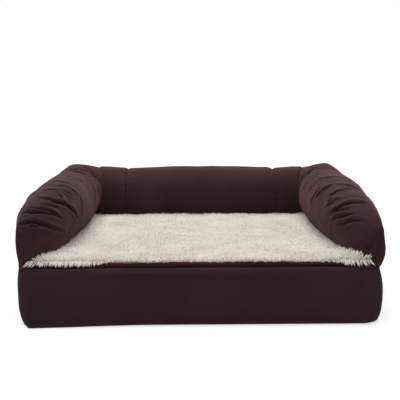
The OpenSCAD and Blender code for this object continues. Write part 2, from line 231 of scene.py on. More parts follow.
def grid_faces(rows, columns, closed_rows=False, closed_columns=False):
    """Quads of a grid of points, row after row, joined round where it is closed."""
    i = np.arange(rows if closed_rows else rows - 1)
    j = np.arange(columns if closed_columns else columns - 1)
    i, j = (a.ravel() for a in np.meshgrid(i, j, indexing="ij"))
    i2, j2 = (i + 1) % rows, (j + 1) % columns
    return np.stack([i * columns + j, i * columns + j2, i2 * columns + j2, i2 * columns + j], axis=1)


def repeated(faces, copies, points):
    """Faces of so many copies of a shape with so many points, one copy's points after another's."""
    faces = np.asarray(faces)
    return (faces[None] + (np.arange(copies) * points)[:, None, None]).reshape(-1, faces.shape[1])


def new_mesh(name, points, quads, triangles=None, uv=None, shade=None):
    """An object at the origin from arrays of points, quads and triangles, with a UV and a shade per point."""
    mesh = bpy.data.meshes.new(name)
    blocks = [faces for faces in (quads, triangles) if faces is not None and len(faces)]
    corners = np.concatenate([faces.ravel() for faces in blocks]).astype(np.int32)
    sizes = np.concatenate([np.full(len(faces), faces.shape[1]) for faces in blocks])
    mesh.vertices.add(len(points))
    mesh.vertices.foreach_set("co", np.asarray(points, np.float32).ravel())
    mesh.loops.add(len(corners))
    mesh.loops.foreach_set("vertex_index", corners)
    mesh.polygons.add(len(sizes))
    mesh.polygons.foreach_set("loop_start", (np.cumsum(sizes) - sizes).astype(np.int32))
    mesh.polygons.foreach_set("use_smooth", np.full(len(sizes), True))
    if uv is not None:
        layer = mesh.uv_layers.new(name="cloth")
        layer.data.foreach_set("uv", np.asarray(uv, np.float32)[corners].ravel())
    if shade is not None:
        values = mesh.attributes.new("shade", "FLOAT", "POINT").data
        values.foreach_set("value", np.asarray(shade, np.float32))
    mesh.update(calc_edges=True)
    mesh.validate()
    piece = bpy.data.objects.new(name, mesh)
    bpy.context.scene.collection.objects.link(piece)
    return piece


def capped_tube(name, rings, uv, steps=1, dome=0.0, shade=None):
    """A closed skin through rings of points. Each end ring is drawn in to its middle, in so many steps,
    and bulges out by the dome. The shade has a number for each point of the rings."""
    def cap(ring, inner):
        """Rings from an end ring in to its middle, and the middle. The inner ring tells which way is out."""
        middle = ring.mean(axis=0)
        out = (ring - inner).mean(axis=0)
        out /= max(np.linalg.norm(out), 1e-9)
        shares = np.arange(1, steps) / steps
        drawn = [middle + (ring - middle) * s + out * dome * np.sqrt(1 - s * s) for s in shares]
        return drawn, middle + out * dome

    rings = np.asarray(rings)
    first, tip = cap(rings[0], rings[1])
    last, tail = cap(rings[-1], rings[-2])
    skin = np.stack(first + list(rings) + last[::-1])
    cloth = np.concatenate([uv[:1]] * len(first) + [uv] + [uv[-1:]] * len(last))
    rows, columns = skin.shape[:2]
    points = np.concatenate([skin.reshape(-1, 3), [tip, tail]])
    cloth = np.concatenate([cloth.reshape(-1, 2), cloth[0].mean(axis=0)[None], cloth[-1].mean(axis=0)[None]])
    if shade is not None:
        rows_of_shade = [shade[:1]] * len(first) + [shade] + [shade[-1:]] * len(last)
        shade = np.concatenate([np.concatenate(rows_of_shade).ravel(), shade[0, :1], shade[-1, :1]])
    j, last_row, end = np.arange(columns), (rows - 1) * columns, rows * columns
    following = (j + 1) % columns
    fans = np.concatenate([joined(end, following, j), joined(end + 1, last_row + j, last_row + following)])
    return new_mesh(name, points, grid_faces(rows, columns, closed_columns=True), fans, cloth, shade)


def circles(steps, sides, steep):
    """Circles of radius 1 and so many points, one square to each step. A circle starts at the step's right
    hand, or towards the y axis where the step is so steep that its z share is over the given one."""
    steps = unit(steps)
    up = np.where(np.abs(steps[..., 2:]) > steep, [1.0, 0, 0], [0, 0, 1.0])
    side = unit(np.cross(steps, up))
    up = np.cross(side, steps)
    a = -np.arange(sides)[:, None] * TAU / sides
    return np.cos(a) * side[..., None, :] + np.sin(a) * up[..., None, :]


def tube(name, path, radius, sides=8, closed=False):
    """A round tube along a path: circles of the radius, square to the path."""
    steps = np.roll(path, -1, axis=0) - np.roll(path, 1, axis=0) if closed else np.gradient(path, axis=0)
    rings = path[:, None] + radius * circles(steps, sides, 0.9)
    uv = joined(along(path)[:, None], np.arange(sides) * TAU / sides * radius)
    if closed:
        faces = grid_faces(len(path), sides, closed_rows=True, closed_columns=True)
        return new_mesh(name, rings.reshape(-1, 3), faces, uv=uv.reshape(-1, 2))
    return capped_tube(name, rings, uv)


def stitches(name, path, length, gap, radius):
    """A row of stitches along a path, one each length and gap: six-sided spindles. At share s of its
    length a stitch is as thick as the radius times sin(pi s)^0.4."""
    rings, sides = 5, 6
    way = along(path)
    starts = np.arange(gap, way[-1] - length, length + gap)
    shares = np.linspace(0, 1, rings)
    s = np.clip(starts[:, None] + shares[None] * length, 0, way[-1])
    middle = np.stack([np.interp(s, way, column) for column in path.T], axis=-1)
    thick = radius * np.maximum(np.sin(np.pi * shares), 0.08) ** 0.4
    points = middle[:, :, None] + thick[:, None, None] * circles(np.gradient(middle, axis=1), sides, 0.8)
    # Two quads close each end
    first_end = np.array([[5, 4, 3, 2], [2, 1, 0, 5]])
    last_end = np.array([[0, 1, 2, 3], [3, 4, 5, 0]]) + (rings - 1) * sides
    one = np.concatenate([grid_faces(rings, sides, closed_columns=True), first_end, last_end])
    flat = points.reshape(-1, 3)
    return new_mesh(name, flat, repeated(one, len(starts), rings * sides), uv=flat[:, :2])


def outward(grid):
    """Outward unit normals of a grid of rings."""
    across = np.roll(grid, -1, axis=1) - np.roll(grid, 1, axis=1)
    normal = np.cross(across, np.gradient(grid, axis=0))
    return normal / np.maximum(np.linalg.norm(normal, axis=-1, keepdims=True), 1e-12)


# Materials


def linear(hex_colour):
    """An sRGB hex colour as linear red, green, blue and alpha."""
    c = np.array([int(hex_colour[i : i + 2], 16) for i in (1, 3, 5)]) / 255
    c = np.where(c <= 0.04045, c / 12.92, ((c + 0.055) / 1.055) ** 2.4)
    return (*c, 1.0)


def add(tree, kind, settings=None, **links):
    """Adds a node of a kind: settings go to its properties or inputs, and links feed its inputs.

    An input goes by its name, with _ for a space, or by i and its number."""
    node = tree.nodes.new(kind)
    for key, value in (settings or {}).items():
        if key.isdigit() or key in node.inputs:
            node.inputs[int(key) if key.isdigit() else key].default_value = value
        else:
            setattr(node, key, value)
    for key, socket in links.items():
        numbered = key[0] == "i" and key[1:].isdigit()
        tree.links.new(socket, node.inputs[int(key[1:]) if numbered else key.replace("_", " ")])
    return node


def ramp(tree, factor, *stops):
    """A colour ramp of (place, hex colour) stops."""
    node = add(tree, "ShaderNodeValToRGB", i0=factor)
    elements = node.color_ramp.elements
    while len(elements) < len(stops):
        elements.new(0.5)
    for element, (place, colour) in zip(elements, stops):
        element.position = place
        element.color = linear(colour)
    return node.outputs["Color"]


def new_material(name, roughness, specular=0.5):
    """A material with a principled surface; returns it with its tree and shader."""
    material = bpy.data.materials.new(name)
    material.use_nodes = True
    surface = material.node_tree.nodes["Principled BSDF"]
    surface.inputs["Roughness"].default_value = roughness
    surface.inputs["Specular IOR Level"].default_value = specular
    return material, material.node_tree, surface


def woven_material(name, dark, light, thread_mm, sheen):
    """Plain-woven polyester: two crossing bands of waves, a thread apart, make its bump and faint heather.
    The shade attribute paints shade into the colour: darker in creases and seams, and a painted highlight
    where it is below zero.

    Its real yarn is about 0.3 mm. thread_mm is coarser, so that the weave shows in a render."""
    material, tree, surface = new_material(name, 0.9, 0.12)
    cloth = add(tree, "ShaderNodeUVMap", {"uv_map": "cloth"}).outputs["UV"]
    # A wave texture of scale 1 repeats every 2 pi / 20 units
    scale = TAU / 20 / (thread_mm * MM)
    warp, weft = (
        add(tree, "ShaderNodeTexWave", {"bands_direction": way, "Scale": scale}, Vector=cloth).outputs["Fac"]
        for way in ("X", "Y"))
    weave = add(tree, "ShaderNodeMath", {"operation": "MAXIMUM"}, i0=warp, i1=weft).outputs[0]
    place = add(tree, "ShaderNodeTexCoord").outputs["Object"]
    blotch = add(tree, "ShaderNodeTexNoise", {"Scale": 11.0, "Detail": 4.0}, Vector=place).outputs["Fac"]
    slub = add(tree, "ShaderNodeTexNoise", {"Scale": 300.0, "Detail": 2.0}, Vector=place).outputs["Fac"]
    # Painted shade of creases and seams, read from the shade attribute
    painted_crease_shade = add(tree, "ShaderNodeAttribute", {"attribute_name": "shade"}).outputs["Fac"]
    total = blotch
    for part, weight in ((slub, 0.35), (weave, 0.2), (painted_crease_shade, -0.8)):
        settings = {"operation": "MULTIPLY_ADD", "1": weight}
        total = add(tree, "ShaderNodeMath", settings, i0=part, i2=total).outputs[0]
    # The darkest stop is the painted shade at the bottom of a crease
    colours = ramp(tree, total, (0.1, "#0E0708"), (0.55, dark), (1.0, light))
    tree.links.new(colours, surface.inputs["Base Color"])
    settings = {"operation": "MULTIPLY_ADD", "1": 0.5}
    height = add(tree, "ShaderNodeMath", settings, i0=slub, i2=weave).outputs[0]
    bump = add(tree, "ShaderNodeBump", {"Strength": 0.5, "Distance": 0.1 * MM}, Height=height)
    tree.links.new(bump.outputs["Normal"], surface.inputs["Normal"])
    surface.inputs["Sheen Weight"].default_value = sheen
    surface.inputs["Sheen Roughness"].default_value = 0.5
    surface.inputs["Sheen Tint"].default_value = linear("#B08480")
    return material


def pile_material(name, root, middle, tip):
    """Lambskin-look polyester pile: matt and soft, with painted shade at the root, each lock of its own tint.
    """
    material, tree, surface = new_material(name, 0.9, 0.15)
    shade = add(tree, "ShaderNodeAttribute", {"attribute_name": "shade"}).outputs["Fac"]
    place = add(tree, "ShaderNodeTexCoord").outputs["Object"]
    blotch = add(tree, "ShaderNodeTexNoise", {"Scale": 14.0, "Detail": 3.0}, Vector=place).outputs["Fac"]
    settings = {"operation": "MULTIPLY_ADD", "1": 0.2, "2": -0.1}
    shift = add(tree, "ShaderNodeMath", settings, i0=blotch).outputs[0]
    total = add(tree, "ShaderNodeMath", {"operation": "ADD"}, i0=shade, i1=shift).outputs[0]
    tree.links.new(ramp(tree, total, (0.0, root), (0.45, middle), (1.0, tip)), surface.inputs["Base Color"])
    surface.inputs["Sheen Weight"].default_value = 0.2
    surface.inputs["Sheen Roughness"].default_value = 0.5
    return material


def cellular_material(name, dark, light, cell_mm, bump_mm):
    """Foam or wadding: matt, with cells or tangles of a few millimetres in colour and bump."""
    material, tree, surface = new_material(name, 0.95, 0.2)
    place = add(tree, "ShaderNodeTexCoord").outputs["Object"]
    cells = add(tree, "ShaderNodeTexVoronoi", {"Scale": 1 / (cell_mm * MM)}, Vector=place).outputs["Distance"]
    tree.links.new(ramp(tree, cells, (0.1, light), (0.7, dark)), surface.inputs["Base Color"])
    bump = add(tree, "ShaderNodeBump", {"Strength": 0.5, "Distance": bump_mm * MM}, Height=cells)
    tree.links.new(bump.outputs["Normal"], surface.inputs["Normal"])
    return material


def metal_material(name, dark, light):
    """Die-cast zinc with a dark antique finish: satin, and rubbed paler here and there."""
    material, tree, surface = new_material(name, 0.4)
    place = add(tree, "ShaderNodeTexCoord").outputs["Object"]
    rub = add(tree, "ShaderNodeTexNoise", {"Scale": 240.0, "Detail": 2.0}, Vector=place).outputs["Fac"]
    tree.links.new(ramp(tree, rub, (0.35, dark), (0.7, light)), surface.inputs["Base Color"])
    rough = add(tree, "ShaderNodeMapRange", {"To Min": 0.28, "To Max": 0.5}, Value=rub).outputs[0]
    tree.links.new(rough, surface.inputs["Roughness"])
    bump = add(tree, "ShaderNodeBump", {"Strength": 0.25, "Distance": 0.05 * MM}, Height=rub)
    tree.links.new(bump.outputs["Normal"], surface.inputs["Normal"])
    surface.inputs["Metallic"].default_value = 1.0
    return material


def nylon_material(name, dark, light, roughness):
    """Moulded nylon or rubber: a smooth plastic with faint flow marks."""
    material, tree, surface = new_material(name, roughness)
    place = add(tree, "ShaderNodeTexCoord").outputs["Object"]
    flow = add(tree, "ShaderNodeTexNoise", {"Scale": 900.0, "Detail": 2.0}, Vector=place).outputs["Fac"]
    tree.links.new(ramp(tree, flow, (0.3, dark), (0.8, light)), surface.inputs["Base Color"])
    surface.inputs["IOR"].default_value = 1.53
    return material


cover_cloth = woven_material("woven_polyester_cover", "#281A1E", "#312025", thread_mm=1.2, sheen=0.05)
bolster_cloth = woven_material("woven_polyester_bolster", "#27181A", "#342224", thread_mm=1.2, sheen=0.26)
binding_cloth = woven_material("folded_binding_twill", "#33181A", "#472729", thread_mm=1.0, sheen=0.0)
# The welt is the seam's real folded edge; its cloth is paler than the cover's as a painted highlight along it
welt_cloth = woven_material("welted_seam_edge", "#32222A", "#42303A", thread_mm=1.0, sheen=0.2)
sole_weave = woven_material("non_slip_base_cloth", "#191414", "#262020", thread_mm=1.4, sheen=0.1)
tape_cloth = woven_material("herringbone_zip_tape", "#1E1415", "#33251F", thread_mm=1.0, sheen=0.1)
seam_thread = woven_material("polyester_sewing_thread", "#3A2826", "#5F4842", thread_mm=0.5, sheen=0.2)
foot_thread = woven_material("reddish_sewing_thread", "#46262A", "#6E4142", thread_mm=0.5, sheen=0.2)
lambskin = pile_material("lambskin_look_pile", "#BCB5AA", "#D5CEC3", "#E9E4DB")
lambskin_ground = pile_material("knitted_pile_ground", "#A8A196", "#C4BDB2", "#D2CCC2")
support_block = cellular_material(
    "charcoal_polyurethane_foam", "#2E3032", "#4A4D50", cell_mm=2.0, bump_mm=0.4)
memory_block = cellular_material("memory_polyurethane_foam", "#D8CFA8", "#F1EBCF", cell_mm=1.2, bump_mm=0.2)
wadding = cellular_material("polyester_fibre_filling", "#D5D5D2", "#F2F2F0", cell_mm=6.0, bump_mm=1.5)
zinc = metal_material("antiqued_die_cast_zinc", "#5A544E", "#7E776F")
coil_nylon = nylon_material("nylon_zip_coil", "#1C1213", "#2C1E1E", roughness=0.38)
dot_rubber = nylon_material("printed_rubber_dots", "#121010", "#1E1B1B", roughness=0.6)


def dress(piece, material, replaced=()):
    """Gives a piece its material and the nodes it stands for. It rides on the bed."""
    piece.data.materials.clear()
    piece.data.materials.append(material)
    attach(piece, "bed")
    if replaced:
        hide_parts(*replaced)


def finish_node(node, material):
    """A carried-over solid gets the material of the real piece."""
    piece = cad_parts[node]
    piece.data.materials.clear()
    piece.data.materials.append(material)


# Camera, floor and light


def make_camera():
    """The photograph's camera: 1.8 m in front and half a metre up, looking down by 10.8 degrees."""
    place = np.array([-10.1, -1785.1, 553.2]) * MM
    turn, pitch, roll = -0.0064, 0.188, -0.0051
    focal_px, photo_px, sensor_mm = 745.9, 400, 36
    ahead = np.array([-np.sin(turn) * np.cos(pitch), np.cos(turn) * np.cos(pitch), -np.sin(pitch)])
    level = np.array([np.cos(turn), np.sin(turn), 0])
    up = np.cross(level, ahead)
    right = np.cos(roll) * level + np.sin(roll) * up
    up = np.cos(roll) * up - np.sin(roll) * level
    data = bpy.data.cameras.new("camera")
    data.sensor_width = sensor_mm
    data.lens = focal_px / photo_px * sensor_mm
    camera = bpy.data.objects.new("camera", data)
    axes = np.stack([right, up, -ahead], axis=1)
    camera.matrix_world = Matrix([[*row, p] for row, p in zip(axes, place)] + [[0, 0, 0, 1]])
    bpy.context.scene.collection.objects.link(camera)
    bpy.context.scene.camera = camera


def seen_directly(tree):
    """1 where the camera looks, also in metal or through glass, and 0 for the rays that light the object."""
    path = add(tree, "ShaderNodeLightPath")
    part = add(tree, "ShaderNodeMath", {"operation": "MAXIMUM"},
               i0=path.outputs["Is Camera Ray"], i1=path.outputs["Is Glossy Ray"]).outputs[0]
    return add(tree, "ShaderNodeMath", {"operation": "MAXIMUM"},
               i0=part, i1=path.outputs["Is Transmission Ray"]).outputs[0]


def make_world(level):
    """White where the camera looks, and an even light of the given level on the object."""
    world = bpy.data.worlds.new("studio")
    world.use_nodes = True
    tree = world.node_tree
    tree.nodes.clear()
    lit = add(tree, "ShaderNodeBackground", {"Color": linear("#F6F7FA"), "Strength": level})
    white = add(tree, "ShaderNodeBackground", {"Color": (1, 1, 1, 1), "Strength": 1.0})
    mix = add(tree, "ShaderNodeMixShader", i0=seen_directly(tree), i1=lit.outputs[0], i2=white.outputs[0])
    add(tree, "ShaderNodeOutputWorld", Surface=mix.outputs[0])
    bpy.context.scene.world = world


def make_floor():
    """A pale floor that looks white from the camera, also far off where less of the lamps' light falls,
    and keeps a faint shadow under the bed."""
    reach, below = 12.0, 0.2 * MM
    near, far = 1.5, 4.0
    glow_near, glow_far = 0.62, 0.85
    corners = np.array([[-1, -1, 0], [1, -1, 0], [1, 1, 0], [-1, 1, 0]]) * reach - [0, 0, below]
    floor = new_mesh("floor", corners, np.array([[0, 1, 2, 3]]))
    material, tree, surface = new_material("white_floor", 0.95, 0.0)
    surface.inputs["Base Color"].default_value = linear("#BDBDBD")
    place = add(tree, "ShaderNodeTexCoord").outputs["Object"]
    away = add(tree, "ShaderNodeVectorMath", {"operation": "LENGTH"}, i0=place).outputs["Value"]
    settings = {"From Min": near, "From Max": far, "To Min": glow_near, "To Max": glow_far}
    level = add(tree, "ShaderNodeMapRange", settings, Value=away)
    glow = add(tree, "ShaderNodeEmission", {"Color": (1, 1, 1, 1)}, Strength=level.outputs[0])
    both = add(tree, "ShaderNodeAddShader", i0=surface.outputs[0], i1=glow.outputs[0])
    mix = add(tree, "ShaderNodeMixShader", i0=seen_directly(tree), i1=surface.outputs[0], i2=both.outputs[0])
    tree.links.new(mix.outputs[0], tree.nodes["Material Output"].inputs["Surface"])
    floor.data.materials.append(material)


def make_lamp(name, place, aim, size, watts):
    """A square soft box at a place, facing a point."""
    data = bpy.data.lights.new(name, "AREA")
    data.size = size
    data.energy = watts
    lamp = bpy.data.objects.new(name, data)
    away = unit(np.array(place, float) - np.array(aim, float))
    side = unit(np.cross([0, 1.0, 0], away))
    axes = np.stack([side, np.cross(away, side), away], axis=1)
    lamp.matrix_world = Matrix([[*row, p] for row, p in zip(axes, place)] + [[0, 0, 0, 1]])
    bpy.context.scene.collection.objects.link(lamp)


bpy.context.scene.view_settings.view_transform = "Standard"
make_camera()
make_world(level=0.61)
make_floor()
make_lamp("top_box", place=(-0.1, 0.1, 2.2), aim=(0, 0, 0.1), size=1.8, watts=40)
make_lamp("front_box", place=(-0.3, -2.3, 1.9), aim=(0, 0, 0.1), size=1.6, watts=14)


# Bolster rolls


def wall_offset(z):
    """How far the wall lies outside its nominal line at height z: a superellipse bulge, drawn in at both
    edges."""
    level = np.clip(1 - np.abs(2 * z / base_h - 1) ** wall_power, 0, 1) ** (1 / wall_power)
    return -edge_drawn + (edge_drawn + bulge) * level


def room_below(x, y):
    """How far cloth at roll_z can sink past the mattress's rounded top edge, in metres: down to the wall
    at the point's distance from the rounded rectangle of the nominal outline."""
    half_x, half_y = half_w - corner_r, (back_y - front_y) / 2 - corner_r
    beyond_x, beyond_y = np.abs(x) - half_x, np.abs(y - middle_y) - half_y
    outside = np.hypot(np.maximum(beyond_x, 0), np.maximum(beyond_y, 0)) - corner_r
    outside += np.minimum(np.maximum(beyond_x, beyond_y), 0)
    z = np.linspace(base_h, base_h - 20 * MM, 60)
    return base_h - np.interp(outside - 1.2 * MM, wall_offset(z), z)


def roll_section(start, width, height, a):
    """Distance out from the inner line and height above the mattress at angle a: a superellipse whose
    foot is cut flat."""
    out = start + width / 2 * (1 + full(np.cos(a)))
    rise = np.maximum(height * (1 - roll_top_share) + height * roll_top_share * full(np.sin(a)), 0)
    return joined(out, rise)


def graded(*stretches):
    """Places from 0 on, in stretches that each have an end and a step, without the last end."""
    starts = [0.0] + [end for end, step in stretches]
    runs = [np.linspace(start, end, max(int((end - start) / step), 1), endpoint=False)
            for start, (end, step) in zip(starts, stretches)]
    return np.concatenate(runs)


def section_angles(fine=1.2 * MM, coarse=3.2 * MM):
    """Angles round a full roll, the girth at each, from the middle of its foot over the outer side, and
    the whole girth.

    The steps are fine where the cloth folds, and coarse at the foot and low on the outer side."""
    a = np.linspace(-np.pi / 2, 1.5 * np.pi, 4001)
    girth = along(roll_section(0.0, roll_w, roll_h, a))
    wanted = graded((145 * MM, coarse), (385 * MM, fine), (girth[-1], coarse))
    return np.interp(wanted, girth, a), wanted, girth[-1]


def bend_sizes(phi):
    """Width and height of the roll in the corner, phi round from the arm: a square's corner, rounded."""
    width = roll_w * (np.cos(phi) ** 4 + np.sin(phi) ** 4) ** -0.25
    return width, roll_h + corner_rise * np.sin(2 * phi) ** 2


def narrowing(s, power):
    """How far the nose has narrowed at share s of its length, 0 to 1: 1 - (1 - s^p)^(1/p)."""
    return 1 - (1 - s**power) ** (1 / power)


def arm_line(t):
    """The arm at length t from its seam: its inner line's x and y, its direction out, and start, width and
    height. It turns the corner, runs straight, and narrows in the nose on both sides and at its top."""
    phi = seam_phi * (1 - np.clip(t / bend_l, 0, 1))
    y = pivot_y - np.maximum(t - bend_l, 0)
    s = np.clip((nose_start_y - y) / nose_l, 0, 1)
    inner = roll_w * 0.78 * narrowing(s, 1.9)
    outer = roll_w * 0.15 * narrowing(s, 2.4)
    width, height = bend_sizes(phi)
    swell = arm_swell * np.sin(np.pi * (pivot_y - y) / (pivot_y - nose_end_y)) ** 2
    height = (height + swell) * (1 - 0.75 * narrowing(s, 3.4))
    return pivot_x + 0 * t, y, np.cos(phi), np.sin(phi), pinch_r + inner, width - inner - outer, height


def tuck_under(t):
    """How far the arm's foot is drawn in on its inner side at length t, most beside the front half."""
    return (12 + 10 * bell(t - 345 * MM, 70 * MM)) * (1 - ease(t, 430 * MM, 500 * MM)) * MM


def roll_grid(line, a, tuck=0.0):
    """Points of a roll: each station's section, set upright on its line. A tuck draws the inner side out
    at its foot by tuck * (1 - rise / 65 mm)^1.5."""
    x, y, dir_x, dir_y, start, width, height = (v[:, None] for v in line)
    out, rise = np.moveaxis(roll_section(start, width, height, a[None]), -1, 0)
    inner_side = (1 - full(np.cos(a[None]))) / 2
    out = out + np.asarray(tuck).reshape(-1, 1) * inner_side * np.clip(1 - rise / tuck_rise, 0, 1) ** 1.5
    return joined(x + dir_x * out, y + dir_y * out, roll_z + rise)


def fold_relief(grid, t, g, folds, seed):
    """Relief of pressed-in folds on a roll's grid, in millimetres as the folds are given, and the painted
    shade of each point in a crease, from 0 to 1.

    Each fold is a list of places (length, girth), then its depth and half width. Its curve is laid on the
    grid. Across it, at distance d, it is a sharp valley -exp(-d / w) with a swollen lip on both sides,
    exp(-((d - 4 w) / (2.6 w))^2), higher towards the seam, and it fades towards both ends as the sine of
    its length."""
    relief, painted_crease_shade = np.zeros(grid.shape[:2]), np.zeros(grid.shape[:2])
    length = np.broadcast_to(t[:, None], relief.shape)
    for *places, depth, width in folds:
        curve = smooth_curve(places)
        curve = curve + 0.9 * smooth_noise(curve[:, 0] / 17, curve[:, 1] / 17, seed)[:, None]
        line = on_grid(grid, t, g, curve) / MM
        reach = 9 * width
        p = grid / MM
        near = ((p > line.min(axis=0) - reach) & (p < line.max(axis=0) + reach)).all(axis=-1)
        k, d = nearest(p[near], line)
        fade = np.sin(np.pi * (k + 0.5) / len(line)) ** 0.6
        w = width * (0.6 + 0.4 * fade)
        lip = bell(d - 4 * w, 2.6 * w) * np.where(length[near] < curve[k, 0], 0.36, 0.2)
        relief[near] += depth * fade * (lip - np.exp(-d / w))
        painted_crease_shade[near] = np.maximum(painted_crease_shade[near], np.minimum(depth / 6, 1) * fade * np.exp(-d / w))
    return relief, painted_crease_shade


# Folds of each arm: places as (length from the seam, girth from the foot), depth and half width, all in
# millimetres
left_folds = [
    [(450, 214), (456, 247), (452, 269), (439, 283), (423, 298), (406, 314), (392, 336), 9.0, 2.2],
    [(374, 236), (360, 259), (356, 273), (346, 292), 6.5, 2.2],
    [(317, 214), (310, 227), (327, 247), (329, 266), 4.0, 2.4],
    [(208, 230), (224, 256), (226, 278), 4.5, 2.4],
    [(44, 218), (54, 245), (66, 265), (98, 280), 5.0, 2.4],
    [(506, 190), (511, 235), (502, 265), (490, 283), (479, 295), (462, 314), 8.5, 2.1],
    [(495, 214), (497, 242), (491, 265), (482, 283), (468, 304), 5.5, 2.0],
    [(533, 196), (532, 244), (526, 269), (520, 287), (512, 302), (498, 320), (479, 335), (455, 348),
     8.5, 2.1],
    [(534, 262), (526, 287), (519, 297), 4.0, 1.8],
    [(340, 288), (347, 309), (358, 327), (362, 346), 2.6, 2.4],
    [(412, 216), (402, 234), (400, 256), 3.6, 2.2],
    [(416, 256), (420, 269), (432, 278), 4.0, 2.0],
    [(98, 196), (104, 227), (117, 256), 3.4, 2.6],
    [(258, 212), (266, 240), (262, 276), 3.2, 2.6],
    [(150, 290), (160, 312), (186, 336), 3.4, 2.8],
    [(483, 240), (474, 267), (457, 289), 3.6, 1.9],
    [(392, 250), (384, 269), (377, 288), 3.4, 1.9],
]
right_folds = [
    [(222, 306), (250, 287), (252, 270), (259, 260), (268, 247), (281, 231), (297, 214), 6.5, 2.3],
    [(325, 308), (334, 295), (338, 284), (343, 271), (351, 256), 7.5, 2.2],
    [(354, 254), (364, 239), (372, 227), (384, 218), (395, 206), 7.0, 2.1],
    [(384, 287), (398, 271), (403, 258), (405, 244), (397, 226), 6.5, 2.1],
    [(422, 318), (445, 303), (456, 293), (462, 282), (470, 270), (480, 251), (486, 218), 9.5, 2.1],
    [(423, 325), (447, 308), (462, 297), (474, 287), (490, 280), 5.5, 2.0],
    [(440, 330), (458, 316), (474, 306), (491, 292), (504, 280), 5.5, 2.0],
    [(481, 322), (501, 301), (514, 290), (525, 277), 6.5, 2.0],
    [(406, 304), (425, 287), (443, 271), 4.0, 1.8],
    [(398, 312), (417, 297), (424, 290), 3.4, 1.8],
    [(526, 356), (537, 340), (542, 318), (543, 250), (542, 180), (537, 130), 3.0, 2.6],
    [(529, 366), (538, 347), (543, 322), 4.0, 2.0],
    [(106, 276), (82, 270), (72, 256), 4.5, 2.2],
    [(392, 300), (416, 289), (433, 276), 3.6, 2.0],
    [(460, 333), (484, 320), (497, 305), 3.4, 2.2],
    [(150, 320), (168, 285), (176, 244), 3.4, 2.6],
    [(290, 330), (306, 306), (312, 280), 3.4, 2.2],
]

# Broad rises and hollows of each arm: length and girth of the middle, half width in length and in girth,
# and height, all in millimetres. The first three make the peaked corner.
left_swells = [
    (42, 201, 13, 18, 3.6),
    (64, 178, 20, 24, -4.5),
    (12, 222, 20, 70, -1.0),
    (528, 110, 34, 60, -3.5),
    (538, 66, 14, 34, -3.0),
    (395, 176, 26, 24, 2.5),
    (485, 160, 16, 24, 3.0),
]
right_swells = [
    (45, 199, 12, 17, 4.0),
    (84, 184, 20, 24, 3.0),
    (10, 220, 24, 70, -6.5),
    (400, 172, 90, 40, -7.0),
    (425, 168, 18, 24, 2.5),
    (516, 132, 34, 44, -5.5),
    (531, 96, 16, 20, 1.5),
    (538, 62, 14, 30, -4.0),
]


def swell_relief(t, g, swells):
    """Sum of broad rises and hollows, each height * exp(-(dt / wt)^2 - (dg / wg)^2)."""
    return sum(height * bell(t - t0, wt) * bell(g - g0, wg) for t0, g0, wt, wg, height in swells)


def cloth_wrinkles(t, g, seed, small, large=1.6):
    """Unevenness of stuffed cloth, in millimetres: soft lumps and ripples across the roll, and sharp
    creases, exp(-|noise| / 0.1), where a noise stretched across the roll passes zero."""
    shift = 14 * layered_noise(t / 70, g / 60, seed, 2)
    lumps = large * layered_noise(t / 75, g / 60, seed + 7, 2)
    ripples = layered_noise((t + shift) / 26, g / 75, seed + 11, 2)
    net = np.exp(-np.abs(smooth_noise((t + shift) / 30, g / 80, seed + 13)) / 0.1)
    patches = 0.2 + 0.8 * ease(smooth_noise(t / 55, g / 60, seed + 17), -0.3, 0.5)
    return lumps + small * (ripples - 1.6 * net) * patches


def seam_pucker(d, g, seed):
    """Gathers beside a seam at distance d, in millimetres: fine waves round the girth that fall off by
    exp(-d / 14), on a groove that falls off by exp(-d / 4)."""
    gathers = layered_noise(g / 9, d / 40, seed, 2)
    return -3.5 * np.exp(-np.abs(d) / 4) + gathers * np.exp(-np.abs(d) / 14)


def rest_on_mattress(grid):
    """1 on the free cloth of a roll and 0 where it rests on the mattress."""
    return ease(grid[..., 2] - roll_z, 0.5 * MM, 14 * MM)


def draw_left_seam(grid):
    """On this bed the left seam leans: its upper part is drawn towards the middle, and the cloth beside
    it follows by exp(-(distance / reach)^2)."""
    beside = bell(grid[..., 0] - left_seam_x, left_seam_reach)
    at_back = ease(grid[..., 1], 110 * MM, 190 * MM)
    upper = ease(grid[..., 2] - roll_z, 25 * MM, 85 * MM)
    grid[..., 0] += left_seam_lean * beside * at_back * upper
    return grid


def neighbour_mean(grid, passes):
    """A tube's grid with each point moved, so many times, to the mean of itself and its four neighbours."""
    for _ in range(passes):
        rows = np.concatenate([grid[:1], grid, grid[-1:]])
        around = np.roll(grid, 1, axis=1) + np.roll(grid, -1, axis=1)
        grid = (grid + around + rows[:-2] + rows[2:]) / 5
    return grid


